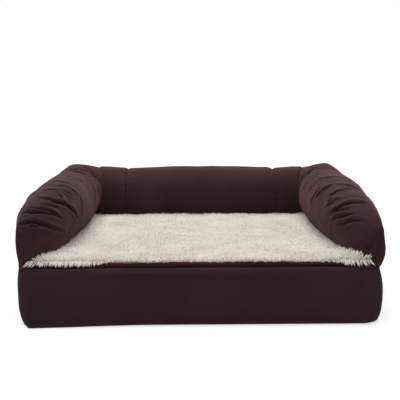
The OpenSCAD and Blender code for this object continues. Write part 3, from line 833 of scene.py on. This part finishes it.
def blown_up(name, grid, t, g, girth):
    """How the cloth of a stuffed roll moves from its even grid, in metres at each point.

    A coarse copy of the roll, cut a little too large and held at its foot and both ends, is blown up by
    cloth simulation. The way of each point, less the mean way of its neighbours, is kept, so that the
    roll keeps its form and gains the gathers, and it is capped."""
    rows = np.unique(np.searchsorted(t, np.arange(0, t[-1], sim_step)))
    columns = np.unique(np.searchsorted(g, np.arange(0, girth - sim_step / 2, sim_step)).clip(0, len(g) - 1))
    rows = np.append(rows, len(t) - 1)
    start = grid[np.ix_(rows, columns)]
    piece = capped_tube(name + "_cloth", start, start[..., :2])
    held = np.zeros(start.shape[:2], bool)
    held[[0, -1]] = True
    held |= start[..., 2] < roll_z + 2 * MM
    group = piece.vertex_groups.new(name="held")
    ends = [held.size, held.size + 1]
    group.add(np.flatnonzero(held).tolist() + ends, 1.0, "REPLACE")
    cloth = piece.modifiers.new("cloth", "CLOTH")
    cloth.settings.vertex_group_mass = group.name
    cloth.settings.use_pressure = True
    cloth.settings.uniform_pressure_force = 4
    cloth.settings.shrink_min = -0.05
    cloth.settings.bending_stiffness = 0.05
    cloth.settings.effector_weights.gravity = 0
    cloth.point_cache.frame_end = sim_frames
    for frame_number in range(1, sim_frames + 1):
        bpy.context.scene.frame_set(frame_number)
    end = np.empty(len(piece.data.vertices) * 3, np.float32)
    evaluated = piece.evaluated_get(bpy.context.evaluated_depsgraph_get())
    evaluated.data.vertices.foreach_get("co", end)
    moved = end.reshape(-1, 3)[:-2].reshape(start.shape) - start
    bpy.data.objects.remove(piece)
    bpy.context.scene.frame_set(1)
    moved = neighbour_mean(moved, 1) - neighbour_mean(moved, 22)
    size = np.linalg.norm(moved, axis=-1, keepdims=True)
    moved *= np.minimum(1, sim_cap / np.maximum(size, 1e-9)) * ~held[..., None]
    columns_at = np.append(g[columns], girth)
    moved = np.concatenate([moved, moved[:, :1]], axis=1)
    at = joined(t[:, None], g).reshape(-1, 2)
    return on_grid(moved, t[rows], columns_at, at).reshape(grid.shape)


def make_arm(name, side, folds, swells, seed, smooth_l, foot_in):
    """An arm's cover, closed: the roll with its swells, wrinkles, placed folds and puckered seam. Up to
    smooth_l from the seam it is stuffed tight, and the outer foot of its nose is drawn in by foot_in."""
    a, g, girth = section_angles()
    # Closer rows where most of the folds are
    t = np.append(graded((190 * MM, 2.0 * MM), (arm_l, 1.35 * MM)), arm_l)
    grid = roll_grid(arm_line(t), a, tuck_under(t))
    tt, gg = np.meshgrid(t / MM, g / MM, indexing="ij")
    # The stretched cloth of the nose and of the inner side stays smoother
    loose = (1 - 0.8 * ease(tt, 400, 490)) * (1 - 0.7 * ease(gg, 270, 330))
    loose *= 0.3 + 0.7 * ease(tt * MM, 0.6 * smooth_l, smooth_l)
    grid = grid + blown_up(name, grid, t, g, girth) * loose[..., None]
    relief, painted_crease_shade = fold_relief(grid, t / MM, g / MM, folds, seed)
    relief += cloth_wrinkles(tt, gg, seed, 0.9 * loose) + seam_pucker(tt, gg, seed + 3)
    relief += swell_relief(tt, gg, swells)
    # Painted shade in the seam's groove
    painted_crease_shade = np.maximum(painted_crease_shade, 0.9 * np.exp(-tt / 2.2))
    grid = grid + outward(grid) * (relief * rest_on_mattress(grid))[..., None] * MM
    rise = grid[..., 2] - roll_z
    outer_side, at_nose = (1 + full(np.cos(a))) / 2, ease(tt, 430, 530)
    grid[..., 0] -= foot_in * outer_side * at_nose * np.clip(1 - rise / (14 * MM), 0, 1) ** 2
    # The foot of the nose hangs over the mattress's edge
    most = (2.5 + 7 * ease(tt, arm_l / MM - 70, arm_l / MM - 15)) * MM
    sink = np.clip(room_below(grid[..., 0], grid[..., 1]), 0, most)
    grid[..., 2] -= sink * np.clip(1 - rise / (40 * MM), 0, 1) ** 1.5
    uv = joined(tt, gg) * MM
    if side < 0:
        grid, uv, painted_crease_shade = draw_left_seam((grid * [-1, 1, 1])[:, ::-1]), uv[:, ::-1], painted_crease_shade[:, ::-1]
    arm = capped_tube(name, grid, uv, steps=5, dome=2.5 * MM, shade=painted_crease_shade)
    dress(arm, bolster_cloth, [name + "_cover"])
    return grid


left_grid = make_arm("left_arm", -1, left_folds, left_swells, seed=21, smooth_l=30 * MM, foot_in=6 * MM)
right_grid = make_arm("right_arm", 1, right_folds, right_swells, seed=47, smooth_l=190 * MM, foot_in=12 * MM)


def make_back_roll():
    """The back roll's cover, closed, between its two seams: two stitched creases draw it in, and it sags
    between a crease and the middle."""
    a, g, girth = section_angles()
    turn = (pinch_r + roll_w / 2) * (np.pi / 2 - seam_phi)
    end = pivot_x + turn
    t = np.linspace(-end, end, 300)
    x = np.clip(t, -pivot_x, pivot_x)
    over = (t - x) / turn * (np.pi / 2 - seam_phi)
    width, height = bend_sizes(np.pi / 2 - np.abs(over))
    # The creases of this bed lie a little to the right
    moved = x - 10 * MM * (1 - (x / pivot_x) ** 2)
    beyond = np.clip((np.abs(moved) - crease_x) / (pivot_x - crease_x), 0, 1) ** 0.5
    height = height * (1 - 0.045 * (np.minimum(np.abs(moved) / crease_x, 1) ** 2 - beyond))
    # From its right crease on, this bed's roll is a little lower
    drop, drop_from, drop_to = 3.5 * MM, 187 * MM, 203 * MM
    height = height - drop * ease(x, drop_from, drop_to)
    grid = roll_grid((x, pivot_y + 0 * x, np.sin(over), np.cos(over), pinch_r + 0 * x, width, height), a)
    grid = grid + 0.6 * blown_up("back_roll", grid, t + end, g, girth)
    tt, gg = np.meshgrid(t / MM, g / MM, indexing="ij")
    relief = cloth_wrinkles(tt, gg, 5, small=0.4, large=1.2)
    relief += seam_pucker(end / MM - np.abs(tt), gg, 15)
    gap = np.abs(np.abs(moved[:, None]) - crease_x) / MM
    relief += seam_pucker(gap, gg, 25)
    relief *= rest_on_mattress(grid)
    grid = draw_left_seam(grid + outward(grid) * relief[..., None] * MM)
    # Painted shade in both seams and, fainter, along both stitched creases
    painted_crease_shade = 0.9 * np.exp((np.abs(tt) - end / MM) / 2.2) + 0.4 * np.exp(-gap / 2)
    uv = joined(tt, gg) * MM
    roll = capped_tube("back_roll", grid, uv, steps=5, dome=1.0 * MM, shade=painted_crease_shade)
    dress(roll, bolster_cloth, ["back_bolster_cover"])
    return grid, (t, moved)


back_grid, back_places = make_back_roll()


def seam_stitches(name, grid, row, first, last):
    """Stitches over a roll, 0.3 mm proud of its cloth, along one row of its grid."""
    path = (grid + 0.3 * MM * outward(grid))[row, first:last:2]
    row_of_stitches = stitches(name, path, length=2.8 * MM, gap=1.4 * MM, radius=0.4 * MM)
    dress(row_of_stitches, seam_thread)


def make_seam_stitches():
    """A row of stitches beside both corner seams, on the arms, and beside both creases, on the back roll."""
    columns = back_grid.shape[1]
    seam_stitches("left_seam_stitches", left_grid, 2, 22, columns - 20)
    seam_stitches("right_seam_stitches", right_grid, 2, 20, columns - 22)
    for name, sign in (("left", -1), ("right", 1)):
        row = int(np.abs(back_places[1] - sign * (crease_x - 3 * MM)).argmin())
        seam_stitches(name + "_crease_stitches", back_grid, row, 20, columns - 22)


make_seam_stitches()


def make_filling(node, grid):
    """Fibre filling of a roll, closed: every fourth ring of its cover, drawn in to its middle, most in
    the nose, where the cover slopes."""
    rings = grid[6:-22:4, ::4]
    middle = rings.mean(axis=1, keepdims=True)
    share = 0.83 - 0.2 * ease(nose_start_y - middle[..., :1, 1:2], 0.55 * nose_l, 0.95 * nose_l)
    rings = middle + (rings - middle) * share
    x, y, z = np.moveaxis(rings / (30 * MM), -1, 0)
    lumps = 1 + 0.012 * layered_noise(x, y + z, 17, 2)
    rings = middle + (rings - middle) * lumps[..., None]
    filling = capped_tube(node.replace("fill", "wadding"), rings, rings[..., :2], steps=3, dome=2 * MM)
    dress(filling, wadding, [node])


make_filling("left_arm_fill", left_grid)
make_filling("right_arm_fill", right_grid)
make_filling("back_bolster_fill", back_grid)


# Mattress cover


def corner_radius(z):
    """Plan radius of the corners at height z, larger at the floor."""
    return corner_r + corner_tuck * np.clip(1 - z / base_h, 0, 1) ** 3


def outline_stations(step=5 * MM, arc_steps=16):
    """Stations round the mattress from the back right corner, past the front, to the back left corner.

    Each has the corner's signs, sliding from one to the next on a straight, and the wall's direction."""
    corners = np.array([(1, 1), (1, -1), (-1, -1), (-1, 1)], float)
    turns = [(90, 0), (0, -90), (-90, -180), (-180, -270)]
    half = np.array([half_w, (back_y - front_y) / 2])
    shares, angles = [], []
    for i, (first, last) in enumerate(turns):
        if i:
            run = np.linalg.norm((corners[i] - corners[i - 1]) * half)
            count = int(run / step)
            shares.append(np.linspace(corners[i - 1], corners[i], count, endpoint=False)[1:])
            angles.append(np.full(count - 1, first))
        shares.append(np.repeat(corners[i : i + 1], arc_steps + 1, axis=0))
        angles.append(np.linspace(first, last, arc_steps + 1))
    return np.concatenate(shares), np.radians(np.concatenate(angles))


wall_shares, wall_angles = outline_stations()
wall_cos, wall_sin = np.cos(wall_angles), np.sin(wall_angles)


def wall_shift(x, y, z):
    """How this bed's wall leaves the even shape, outwards in metres: drawn in towards its top on the
    right and at both edges on the left, and spread forwards at its foot on the left, with a pointed tip of
    cloth on the floor there. A narrow crease slants down from the upper right corner.

    The amounts are in millimetres. All but the crease fall off by exp(-distance / length) from the
    wall's top or foot."""
    end_from, end_to, foot_from = 300 * MM, 370 * MM, 100 * MM
    tip_x, crease_top_x, crease_slant = -354 * MM, 366 * MM, 0.35
    below_top = base_h - z
    forwards = np.clip(-wall_sin, 0, 1) ** 2
    left_front = ease(-x, end_from, end_to) * ease(-y, 50 * MM, 200 * MM)
    right_front = ease(x, end_from, end_to) * ease(-y, -50 * MM, 200 * MM)
    left_top = -4.5 * left_front * np.exp(-below_top / (7 * MM))
    left_low = -6 * left_front * (1 - forwards) * np.exp(-z / (9 * MM))
    right_top = -9.5 * right_front * np.exp(-below_top / (34 * MM))
    left_foot = 15 * ease(-x, foot_from, end_to) * forwards * np.exp(-z / (24 * MM))
    tip = 9 * bell(x - tip_x, 6 * MM) * forwards * np.exp(-z / (6 * MM))
    slant = x - crease_top_x - crease_slant * below_top
    pulled = -1.6 * bell(slant, 2.5 * MM) * forwards * ease(z, 92 * MM, 112 * MM)
    return (right_top + left_top + left_low + left_foot + tip + pulled) * MM


def wall_points(z, inset=0.0):
    """Points of the wall at height z: the corner's centre, and out from it by its radius and the offset."""
    r = corner_radius(z)
    out = r + wall_offset(z) - inset
    x = wall_shares[:, 0] * (half_w - r) + out * wall_cos
    y = middle_y + wall_shares[:, 1] * ((back_y - front_y) / 2 - r) + out * wall_sin
    shift = wall_shift(x, y, z)
    return joined(x + shift * wall_cos, y + shift * wall_sin, z)


def wall_relief(s, z):
    """Unevenness of the stretched wall, in metres: soft waves, short puckers at both seams, and a low ridge
    over the seam's turned-in edge."""
    soft = 0.8 * layered_noise(s / (130 * MM), z / (70 * MM), 3)
    soft = soft + 1.6 * bell(z - base_h + 11.5 * MM, 4 * MM)
    gather = 0.55 * layered_noise(s / (12 * MM), z / (50 * MM), 5, 2)
    near = np.exp(-(base_h - z) / (10 * MM)) + np.exp(-z / (9 * MM))
    return (soft + gather * near) * ease(z, 1 * MM, 8 * MM) * ease(base_h - z, 1 * MM, 8 * MM) * MM


def make_border():
    """The border: one strip of cloth round the front and both sides, ending square at the zip's back wall.

    At each station its skin goes up the outer side of the cloth and down the inner side."""
    levels = 44
    z = (cover_t + (base_h - 2 * cover_t) * (1 - np.cos(np.linspace(0, np.pi, levels))) / 2)[:, None]
    s = along(wall_points(z)[levels // 2])
    push = wall_relief(s[None], z)[..., None] * joined(wall_cos, wall_sin, 0)
    skin = np.concatenate([wall_points(z) + push, (wall_points(z, cover_t) + push)[::-1]]).transpose(1, 0, 2)
    ends = skin[[0, -1]].copy()
    ends[0, :, 0], ends[1, :, 0] = strip_x, -strip_x
    skin = np.concatenate([ends[:1], skin, ends[1:]])
    girth = np.concatenate([z[:, 0], base_h + z[:, 0]])
    uv = joined(along(skin[:, levels // 2])[:, None], girth)
    # Painted shade in the groove above the welt, and a painted highlight on the ridge below it
    painted_shade_and_highlight = 0.8 * ease(z[:, 0], base_h - 6 * MM, base_h - 3.5 * MM)
    painted_shade_and_highlight -= 0.5 * bell(z[:, 0] - base_h + 11 * MM, 4.5 * MM)
    shade = np.broadcast_to(np.concatenate([painted_shade_and_highlight, painted_shade_and_highlight[::-1]]), skin.shape[:2])
    dress(capped_tube("border", skin, uv, shade=shade), cover_cloth, ["border_strip"])


make_border()


def back_waves(x, z):
    """Soft waves of the back wall, in metres."""
    return 0.5 * MM * layered_noise(x / (90 * MM), z / (40 * MM), 31)


def make_back_wall(name, low_z, high_z, hem_z, node):
    """Flat back wall of the cover between two heights, with a rolled hem on the zip's side."""
    z = np.linspace(low_z, high_z, 20)[:, None]
    x = np.linspace(-strip_x, strip_x, 150)
    waves = back_waves(x, z) * ease(z, 1 * MM, 8 * MM) * ease(base_h - z, 1 * MM, 8 * MM)
    y = back_y + wall_offset(z) + waves + 0.5 * MM * bell(z - hem_z, 3 * MM)
    outer = joined(x, y, z)
    skin = np.concatenate([outer, outer[::-1] - [0, cover_t, 0]]).transpose(1, 0, 2)[::-1]
    girth = np.concatenate([z[:, 0], base_h + z[:, 0]])
    uv = joined(x[:, None], girth)
    dress(capped_tube(name, skin, uv), cover_cloth, [node])


upper_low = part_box("back_strip_upper")[0][2]
lower_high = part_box("back_strip_lower")[1][2]
make_back_wall("back_wall_upper", upper_low, base_h - cover_t, upper_low, "back_strip_upper")
make_back_wall("back_wall_lower", cover_t, lower_high, lower_high, "back_strip_lower")


def make_panel(name, low_z, high_z, material, node, shade=0.0):
    """A flat panel of the cover, closed: its rim follows the wall's rounded edge between two heights, and
    both faces are the rim's end rings, drawn in to the middle."""
    rim = wall_points((high_z - (high_z - low_z) * np.linspace(0, 1, 8) ** 2)[:, None])[:, ::2]
    middle = np.array([0, middle_y, 0])
    shares = np.linspace(0.98, 0.02, 11)[:, None, None]
    over, under = (middle * [1, 1, 0] + (rim[i] - middle) * [1, 1, 0] * shares + [0, 0, z]
                   for i, z in ((0, high_z), (-1, low_z)))
    grid = np.concatenate([over[::-1], rim, under])[::-1]
    piece = capped_tube(name, grid, grid[..., :2], shade=np.full(grid.shape[:2], shade))
    dress(piece, material, [node])


# What shows of the top is painted darker: a painted shade for the binding and the rolls
make_panel("top_cloth", base_h - cover_t, base_h, cover_cloth, "top_panel", shade=0.35)
make_panel("sole_cloth", 0.2 * MM, cover_t, sole_weave, "bottom_panel")


def make_foam(node, low_z, high_z, material):
    """A foam block inside the cover, closed: the wall's own line, drawn in by the cloth and a little air."""
    z = np.linspace(low_z, high_z, 9)[:, None]
    sides = wall_points(z, cover_t + 1.2 * MM)[:, ::2]
    # The back is cut short, as in the solid, to leave room for the zip
    sides[..., 1] = np.minimum(sides[..., 1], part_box(node)[1][1])
    middle = np.array([0, middle_y, 0])
    shares = np.array([0.02, 0.5, 0.8, 0.97])[:, None, None]
    under = middle + (sides[0] - middle) * [1, 1, 0] * shares + [0, 0, low_z]
    over = middle + (sides[-1] - middle) * [1, 1, 0] * shares[::-1] + [0, 0, high_z]
    grid = np.concatenate([under, sides, over])
    block = capped_tube(node + "_block", grid, grid[..., :2])
    dress(block, material, [node])


foam_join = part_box("memory_foam")[0][2]
make_foam("support_foam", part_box("support_foam")[0][2], foam_join, support_block)
make_foam("memory_foam", foam_join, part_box("memory_foam")[1][2], memory_block)


def make_welt(name, z, radius, drawn):
    """A seam's folded edge round the mattress: a thin tube on the wall's line."""
    path = wall_points(z, drawn)
    ends = np.array([[strip_x, path[0, 1], z], [-strip_x, path[-1, 1], z]])
    path = np.concatenate([ends[1:], path[::-1], ends[:1]])
    back = joined(np.linspace(strip_x, -strip_x, 100)[1:-1], ends[0, 1], z)
    path = np.concatenate([path, back])
    s = along(path)
    path[:, 2] += 0.35 * MM * layered_noise(s / (20 * MM), s * 0, 61, 2)
    dress(tube(name, path, radius, closed=True), welt_cloth)


make_welt("top_seam", z=base_h - 6.5 * MM, radius=1.7 * MM, drawn=0.7 * MM)
make_welt("bottom_seam", z=4.5 * MM, radius=1.1 * MM, drawn=-0.3 * MM)


# Plush


def plush_edge():
    """The plush's right edge, back to front: where the roll turns under at pile height, less a small gap."""
    t = np.concatenate([np.linspace(-0.19, 0, 8)[:-1] * bend_l, np.linspace(0, arm_l, 240)])
    phi = seam_phi * (1 - t / bend_l)
    x, y, dir_x, dir_y, start, width, height = arm_line(np.maximum(t, 0))
    dir_x, dir_y = np.where(t < 0, np.cos(phi), dir_x), np.where(t < 0, np.sin(phi), dir_y)
    upper = height * roll_top_share
    level = np.abs((height - upper - pile_h) / upper)
    under = 1 - np.maximum(0, 1 - level**roll_power) ** (1 / roll_power)
    tuck = tuck_under(np.maximum(t, 0)) * (1 - pile_h / tuck_rise) ** 1.5
    out = start + width / 2 * under + 0.8 * tuck - side_gap
    edge = joined(x + dir_x * out, y + dir_y * out)
    edge = edge[edge[:, 1] > plush_front_y]
    return np.vstack([edge, [np.interp(plush_front_y, edge[::-1, 1], edge[::-1, 0]), plush_front_y]])


right_edge = plush_edge()
plush_outline = np.vstack([right_edge, right_edge[::-1] * [-1, 1]])


def inside(points, outline):
    """Whether each point lies inside an outline: a ray along x crosses it an odd number of times."""
    a, b = outline, np.roll(outline, -1, axis=0)
    x, y = points[:, :1], points[:, 1:]
    crosses = (a[:, 1] > y) != (b[:, 1] > y)
    climb = np.where(b[:, 1] == a[:, 1], 1e-12, b[:, 1] - a[:, 1])
    at = a[:, 0] + (y - a[:, 1]) * (b[:, 0] - a[:, 0]) / climb
    return (crosses & (x < at)).sum(axis=1) % 2 == 1


def edge_distance(points):
    """Distance to the plush's side and back edge and the direction to it, and distance to its front edge."""
    side = resampled(right_edge[:-1], 160)
    back = joined(np.linspace(-260 * MM, 260 * MM, 60), right_edge[0, 1])
    side = np.vstack([side, side * [-1, 1], back])
    k, distance = nearest(points, side)
    way = (side[k] - points) / np.maximum(distance, 1e-6)[:, None]
    return distance, way, points[:, 1] - plush_front_y


def ground_height(x, y):
    """Top of the knitted ground above the mattress, in metres: low waves."""
    return 6.0 * MM + 1.6 * MM * layered_noise(x / (45 * MM), y / (40 * MM), 71, 2)


def make_ground():
    """The plush's knitted ground, closed: its outline drawn in to the middle in rings, on both faces."""
    outline = resampled(np.vstack([plush_outline, plush_outline[:1]]), 361)[:-1]
    middle = np.array([0, -60 * MM])
    shares = np.concatenate([[0.999, 1.0, 1.0, 0.992, 0.985], np.linspace(0.97, 0.02, 60)])[:, None, None]
    flat = middle + (outline - middle) * shares
    rise = ground_height(flat[..., 0], flat[..., 1])
    levels = np.concatenate([[0, 0.2, 0.6, 0.85, 0.95], np.ones(60)])[:, None]
    top = np.concatenate([flat, (roll_z + rise * levels)[..., None]], axis=-1)
    low = np.concatenate([flat[5::6], np.full((10, 360, 1), roll_z)], axis=-1)
    grid = np.concatenate([top[::-1], low])
    speck = 10 * MM
    shade = 0.35 + 0.2 * layered_noise(grid[..., 0] / speck, grid[..., 1] / speck, 73, 2)
    piece = capped_tube("plush_ground", grid[::-1], grid[::-1][..., :2])
    values = piece.data.attributes.new("shade", "FLOAT", "POINT").data
    values.foreach_set("value", np.append(shade[::-1].ravel(), [0.3, 0.3]).astype(np.float32))
    dress(piece, lambskin_ground, ["plush_surface"])


make_ground()


def clump_centres(points, spacing, seed):
    """The nearest centre of a jittered square grid to each point, and that centre's own random number."""
    table = np.random.default_rng(seed).uniform(0, 1, (3, 128, 128))
    cell = np.floor(points / spacing).astype(int)
    best, centre, number = np.full(len(points), 9.0), np.zeros_like(points), np.zeros(len(points))
    for dx in (-1, 0, 1):
        for dy in (-1, 0, 1):
            i, j = cell[:, 0] + dx, cell[:, 1] + dy
            jitter = table[:2, i % 128, j % 128].T
            here = (np.stack([i, j], axis=1) + jitter) * spacing
            gap = np.linalg.norm(points - here, axis=1)
            closer = gap < best
            best[closer], centre[closer] = gap[closer], here[closer]
            number[closer] = table[2, i % 128, j % 128][closer]
    return centre, number


def make_pile(name, low_x, high_x, seed):
    """Locks of pile between two x: each a bent, tapering, three-sided spindle that leans to the middle of
    its clump, outwards over an edge, and over the binding at the front."""
    rng = np.random.default_rng(seed)
    x = np.arange(low_x, high_x, lock_step)
    y = np.arange(plush_front_y, right_edge[:, 1].max(), lock_step)
    root = joined(x[:, None], y).reshape(-1, 2)
    root += rng.uniform(-0.5, 0.5, root.shape) * lock_step
    root = root[inside(root, plush_outline) & (root[:, 0] >= low_x) & (root[:, 0] < high_x)]
    count = len(root)
    centre, number = clump_centres(root, clump_step, seed=81)
    side_distance, side_way, front_distance = edge_distance(root)
    from_middle = np.abs(root[:, 0])
    left_end, right_end = ease(-root[:, 0], *left_hang), ease(root[:, 0], *right_hang)
    lean = 0.25 * (centre - root)
    swirl = layered_noise(root[:, 0] / swirl_w, root[:, 1] / swirl_w, 83, 2) * np.pi
    lean += joined(np.cos(swirl), np.sin(swirl)) * 1.4 * MM + rng.normal(0, 1.0 * MM, (count, 2))
    loose = rng.uniform(0.2, 1.3, count)
    near_side = bell(side_distance, 7 * MM) * loose
    sway = (near_side * 2 * MM)[:, None]
    lean += side_way * sway + sway * rng.normal(0, 1, (count, 2))
    near_front = bell(front_distance, 7 * MM) * (0.4 + 0.6 * loose)
    lean[:, 1] -= near_front * 3 * MM
    # Towards the front corners the locks pile up against the arms, and the last spread out past them
    heap = ease(from_middle, *heap_x) * ease(-root[:, 1], *heap_y)
    spread = bell(front_distance, 8 * MM) * ease(from_middle, *spread_x) * loose
    lean[:, 0] += np.sign(root[:, 0]) * spread * np.where(root[:, 0] < 0, spread_left, spread_right)
    puffed = loose < puff_share
    # Height above the ground, in millimetres: more beside an edge, and most where the locks heap up
    tall = 6.8 + 2.0 * number + rng.normal(0, 0.8, count)
    tall += (5.5 + 4.0 * heap) * near_side
    tall += 3.0 * heap * loose
    tall += (3.0 + 4.5 * right_end) * heap * puffed
    droop = near_front * 3.4 * MM
    z = roll_z + ground_height(root[:, 0], root[:, 1]) - root_depth
    bend = rng.normal(0, 0.8 * MM, (count, 2))
    shares = np.array([0.0, 0.4, 0.75, 1.0])
    middle = np.empty((count, 4, 3))
    middle[..., :2] = root[:, None] + lean[:, None] * (shares**1.5)[None, :, None]
    middle[..., :2] += bend[:, None] * np.sin(np.pi * shares)[None, :, None]
    middle[..., 2] = z[:, None] + (tall * MM + root_depth)[:, None] * shares - droop[:, None] * shares**2
    # At both front corners the first rows hang over the binding instead, and single tufts do a little
    over = np.maximum(np.maximum(left_end, right_end), 0.4 * (number > 0.7))
    over *= bell(front_distance, 7.5 * MM)
    # Some locks in the last few centimetres stand out in a puff
    over *= 1 - (0.55 + 0.25 * right_end) * ease(from_middle, *puff_x) * puffed
    over = over[:, None]
    reach = (0.75 + 0.2 * loose + 0.08 * number)[:, None]
    middle[..., 0] -= over * 0.15 * (centre - root)[:, :1] * shares**1.5
    middle[..., 1] += over * (plush_front_y - hang_out * reach - middle[..., 1])
    lift = (4 * (1.1 - loose) - 2.5 * right_end)[:, None] * shares * MM
    middle[..., 2] += over * (roll_z + hang_up + lift - middle[..., 2])
    radius = (lock_r + lock_r_over * over) * rng.uniform(0.8, 1.2, count)[:, None]
    turn = rng.uniform(0, TAU, count)[:, None] + np.arange(3) * TAU / 3
    ring = joined(np.cos(turn), np.sin(turn), 0)
    body = middle[:, :3, None] + radius[..., None, None] * ring[:, None]
    points = np.concatenate([body.reshape(count, 9, 3), middle[:, 3:]], axis=1)
    one = [(0, 2, 1)]
    for level in (0, 3):
        for i in range(3):
            j = (i + 1) % 3
            one += [(level + i, level + j, level + 3 + j), (level + i, level + 3 + j, level + 3 + i)]
    one += [(6, 7, 9), (7, 8, 9), (8, 6, 9)]
    tint = rng.normal(0, 0.05, count)[:, None] + 0.1 * (number[:, None] - 0.5)
    # Darker towards the root: painted shade among the locks
    shade = tint + np.repeat([0.05, 0.42, 0.72, 0.85], [3, 3, 3, 1])[None]
    pile = new_mesh(name, points.reshape(-1, 3), None, repeated(one, count, 10), shade=shade.ravel())
    dress(pile, lambskin)


for i in range(patch_count):
    patch_x = pile_left_x + patch_w * i
    make_pile(f"plush_pile_{i + 1}", patch_x, patch_x + patch_w, seed=90 + i)


def make_binding():
    """The folded strip that binds the plush along its front edge, closed: a flat foot and a rounded top."""
    low, high = np.array(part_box("front_binding"))
    x = np.linspace(low[0], high[0], 420)
    a = np.linspace(0, np.pi, 9)
    half_t = (high[1] - low[1]) / 2
    rise = high[2] - low[2]
    top = joined(-half_t * np.cos(a), rise - half_t + half_t * np.sin(a))
    section = np.vstack([[[-half_t, 0.3 * MM]], top, [[half_t, 0.3 * MM]]])
    wave = layered_noise(x / (60 * MM), 0 * x, 101)
    middle = (low[1] + high[1]) / 2
    y = middle + section[None, :, 0] + (0.7 * MM * wave)[:, None] * (section[None, :, 1] / rise)
    z = low[2] + section[None, :, 1] * (1 + 0.18 * layered_noise(x / (50 * MM), 0 * x, 103, 2))[:, None]
    grid = joined(x[:, None], y, z)
    uv = joined(x[:, None], along(section))
    dress(capped_tube("binding", grid, uv), binding_cloth, ["front_binding"])


make_binding()


# Threads, zip and sole


def make_topstitches():
    """Stitch rows on the cover: one round the wall just above its bottom seam, and one beside each edge of
    the zip's slot."""
    round_wall = wall_points(9 * MM, -0.6 * MM)
    row = stitches("bottom_seam_stitches", round_wall, length=3 * MM, gap=1.2 * MM, radius=0.45 * MM)
    dress(row, foot_thread)
    x = np.linspace(strip_x - 2 * MM, 2 * MM - strip_x, 400)
    beside = 4.5 * MM
    for place, z in (("upper", upper_low + beside), ("lower", lower_high - beside)):
        path = joined(x, back_y + wall_offset(z) + back_waves(x, z) + 0.25 * MM, z)
        row = stitches(place + "_zip_stitches", path, length=2.6 * MM, gap=1.2 * MM, radius=0.35 * MM)
        dress(row, seam_thread)


make_topstitches()


def make_tape(side, name):
    """One woven zip tape, closed: flat beside the slit, and in slight waves where it is sewn to the wall."""
    low, high = np.array(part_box(name))
    x = np.linspace(low[0], high[0], 260)[:, None]
    share = np.linspace(0, 1, 9)
    z = low[2] + (high[2] - low[2]) * (share if side > 0 else 1 - share)
    sewn = ease(share, 0.45, 0.8)
    wave = -0.5 * MM * sewn * (0.5 + 0.5 * layered_noise(x / (20 * MM), 0 * x, 111 + side, 2))
    wave = np.minimum(wave, 0)
    edge = 0.5 * (high[1] - low[1]) * (1 - ease(share, 0, 0.06) * ease(1 - share, 0, 0.06))
    outer = joined(x, high[1] + wave - edge, z)
    inner = joined(x, low[1] + wave + edge, z)
    skin = np.concatenate([outer, inner[:, ::-1]], axis=1)[::-1]
    if side < 0:
        skin = skin[:, ::-1]
    tape = capped_tube(name.replace("zip_tape", "woven_tape"), skin, skin[..., ::2])
    dress(tape, tape_cloth, [name])


def make_coil(side, name, turn_points=8):
    """One nylon coil: a flattened helix from the slit, where both coils nearly meet, to the chain's edge.
    Its loops lie half a tooth pitch apart, and those of the lower coil between those of the upper."""
    low, high = np.array(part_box(name))
    low[2] -= (side > 0) * 0.25 * MM
    high[2] += (side < 0) * 0.25 * MM
    thread_r = 0.5 * MM
    pitch = tooth_pitch / 2
    loops = int((high[0] - low[0]) / pitch) - 1
    u = np.linspace(0, TAU * loops, loops * turn_points + 1)
    middle, half = (low + high) / 2, (high - low) / 2 - thread_r
    x = middle[0] + (u / TAU - loops / 2 + 0.25 * side) * pitch
    z = middle[2] - side * half[2] * np.cos(u)
    y = middle[1] + half[1] * np.sin(u)
    coil = tube(name.replace("zip_coil", "nylon_coil"), joined(x, y, z), thread_r, sides=5)
    dress(coil, coil_nylon, [name])


for side, place in ((1, "upper"), (-1, "lower")):
    make_tape(side, "zip_tape_" + place)
    make_coil(side, "zip_coil_" + place)


def make_dots():
    """Rubber dots printed on the sole in staggered rows: flat domes."""
    pitch, dot_r, sides = 20 * MM, 2.2 * MM, 8
    i, j = (a.ravel() for a in np.meshgrid(np.arange(-17, 18), np.arange(-13, 13), indexing="ij"))
    centre = joined((i + 0.5 * (j % 2)) * pitch, (j + 0.5) * pitch + middle_y)
    centre = centre[inside(centre, wall_points(cover_t, 12 * MM)[:, :2])]
    a = np.arange(sides) * TAU / sides
    ring = joined(np.cos(a), np.sin(a)) * dot_r
    # Each ring's share of the radius and its height, then the heights of the two middles
    levels = [(1.0, 0.25 * MM), (0.8, 0.05 * MM)]
    middles = [0.25 * MM, 0.02 * MM]
    x, y = centre[:, :1], centre[:, 1:]
    rings = [joined(x + ring[:, 0] * share, y + ring[:, 1] * share, z) for share, z in levels]
    points = np.concatenate(rings + [joined(x, y, z) for z in middles], axis=1)
    k, following = np.arange(sides), (np.arange(sides) + 1) % sides
    wall = joined(k, k + sides, following + sides, following)
    tip = 2 * sides
    fans = np.concatenate([joined(tip, k, following), joined(tip + 1, following + sides, k + sides)])
    copies, size = points.shape[:2]
    wall, fans = repeated(wall, copies, size), repeated(fans, copies, size)
    dress(new_mesh("sole_dots", points.reshape(-1, 3), wall, fans), dot_rubber)


make_dots()

for node, material in (("zip_end_stops", zinc), ("zip_slider", zinc), ("zip_pull", zinc)):
    finish_node(node, material)
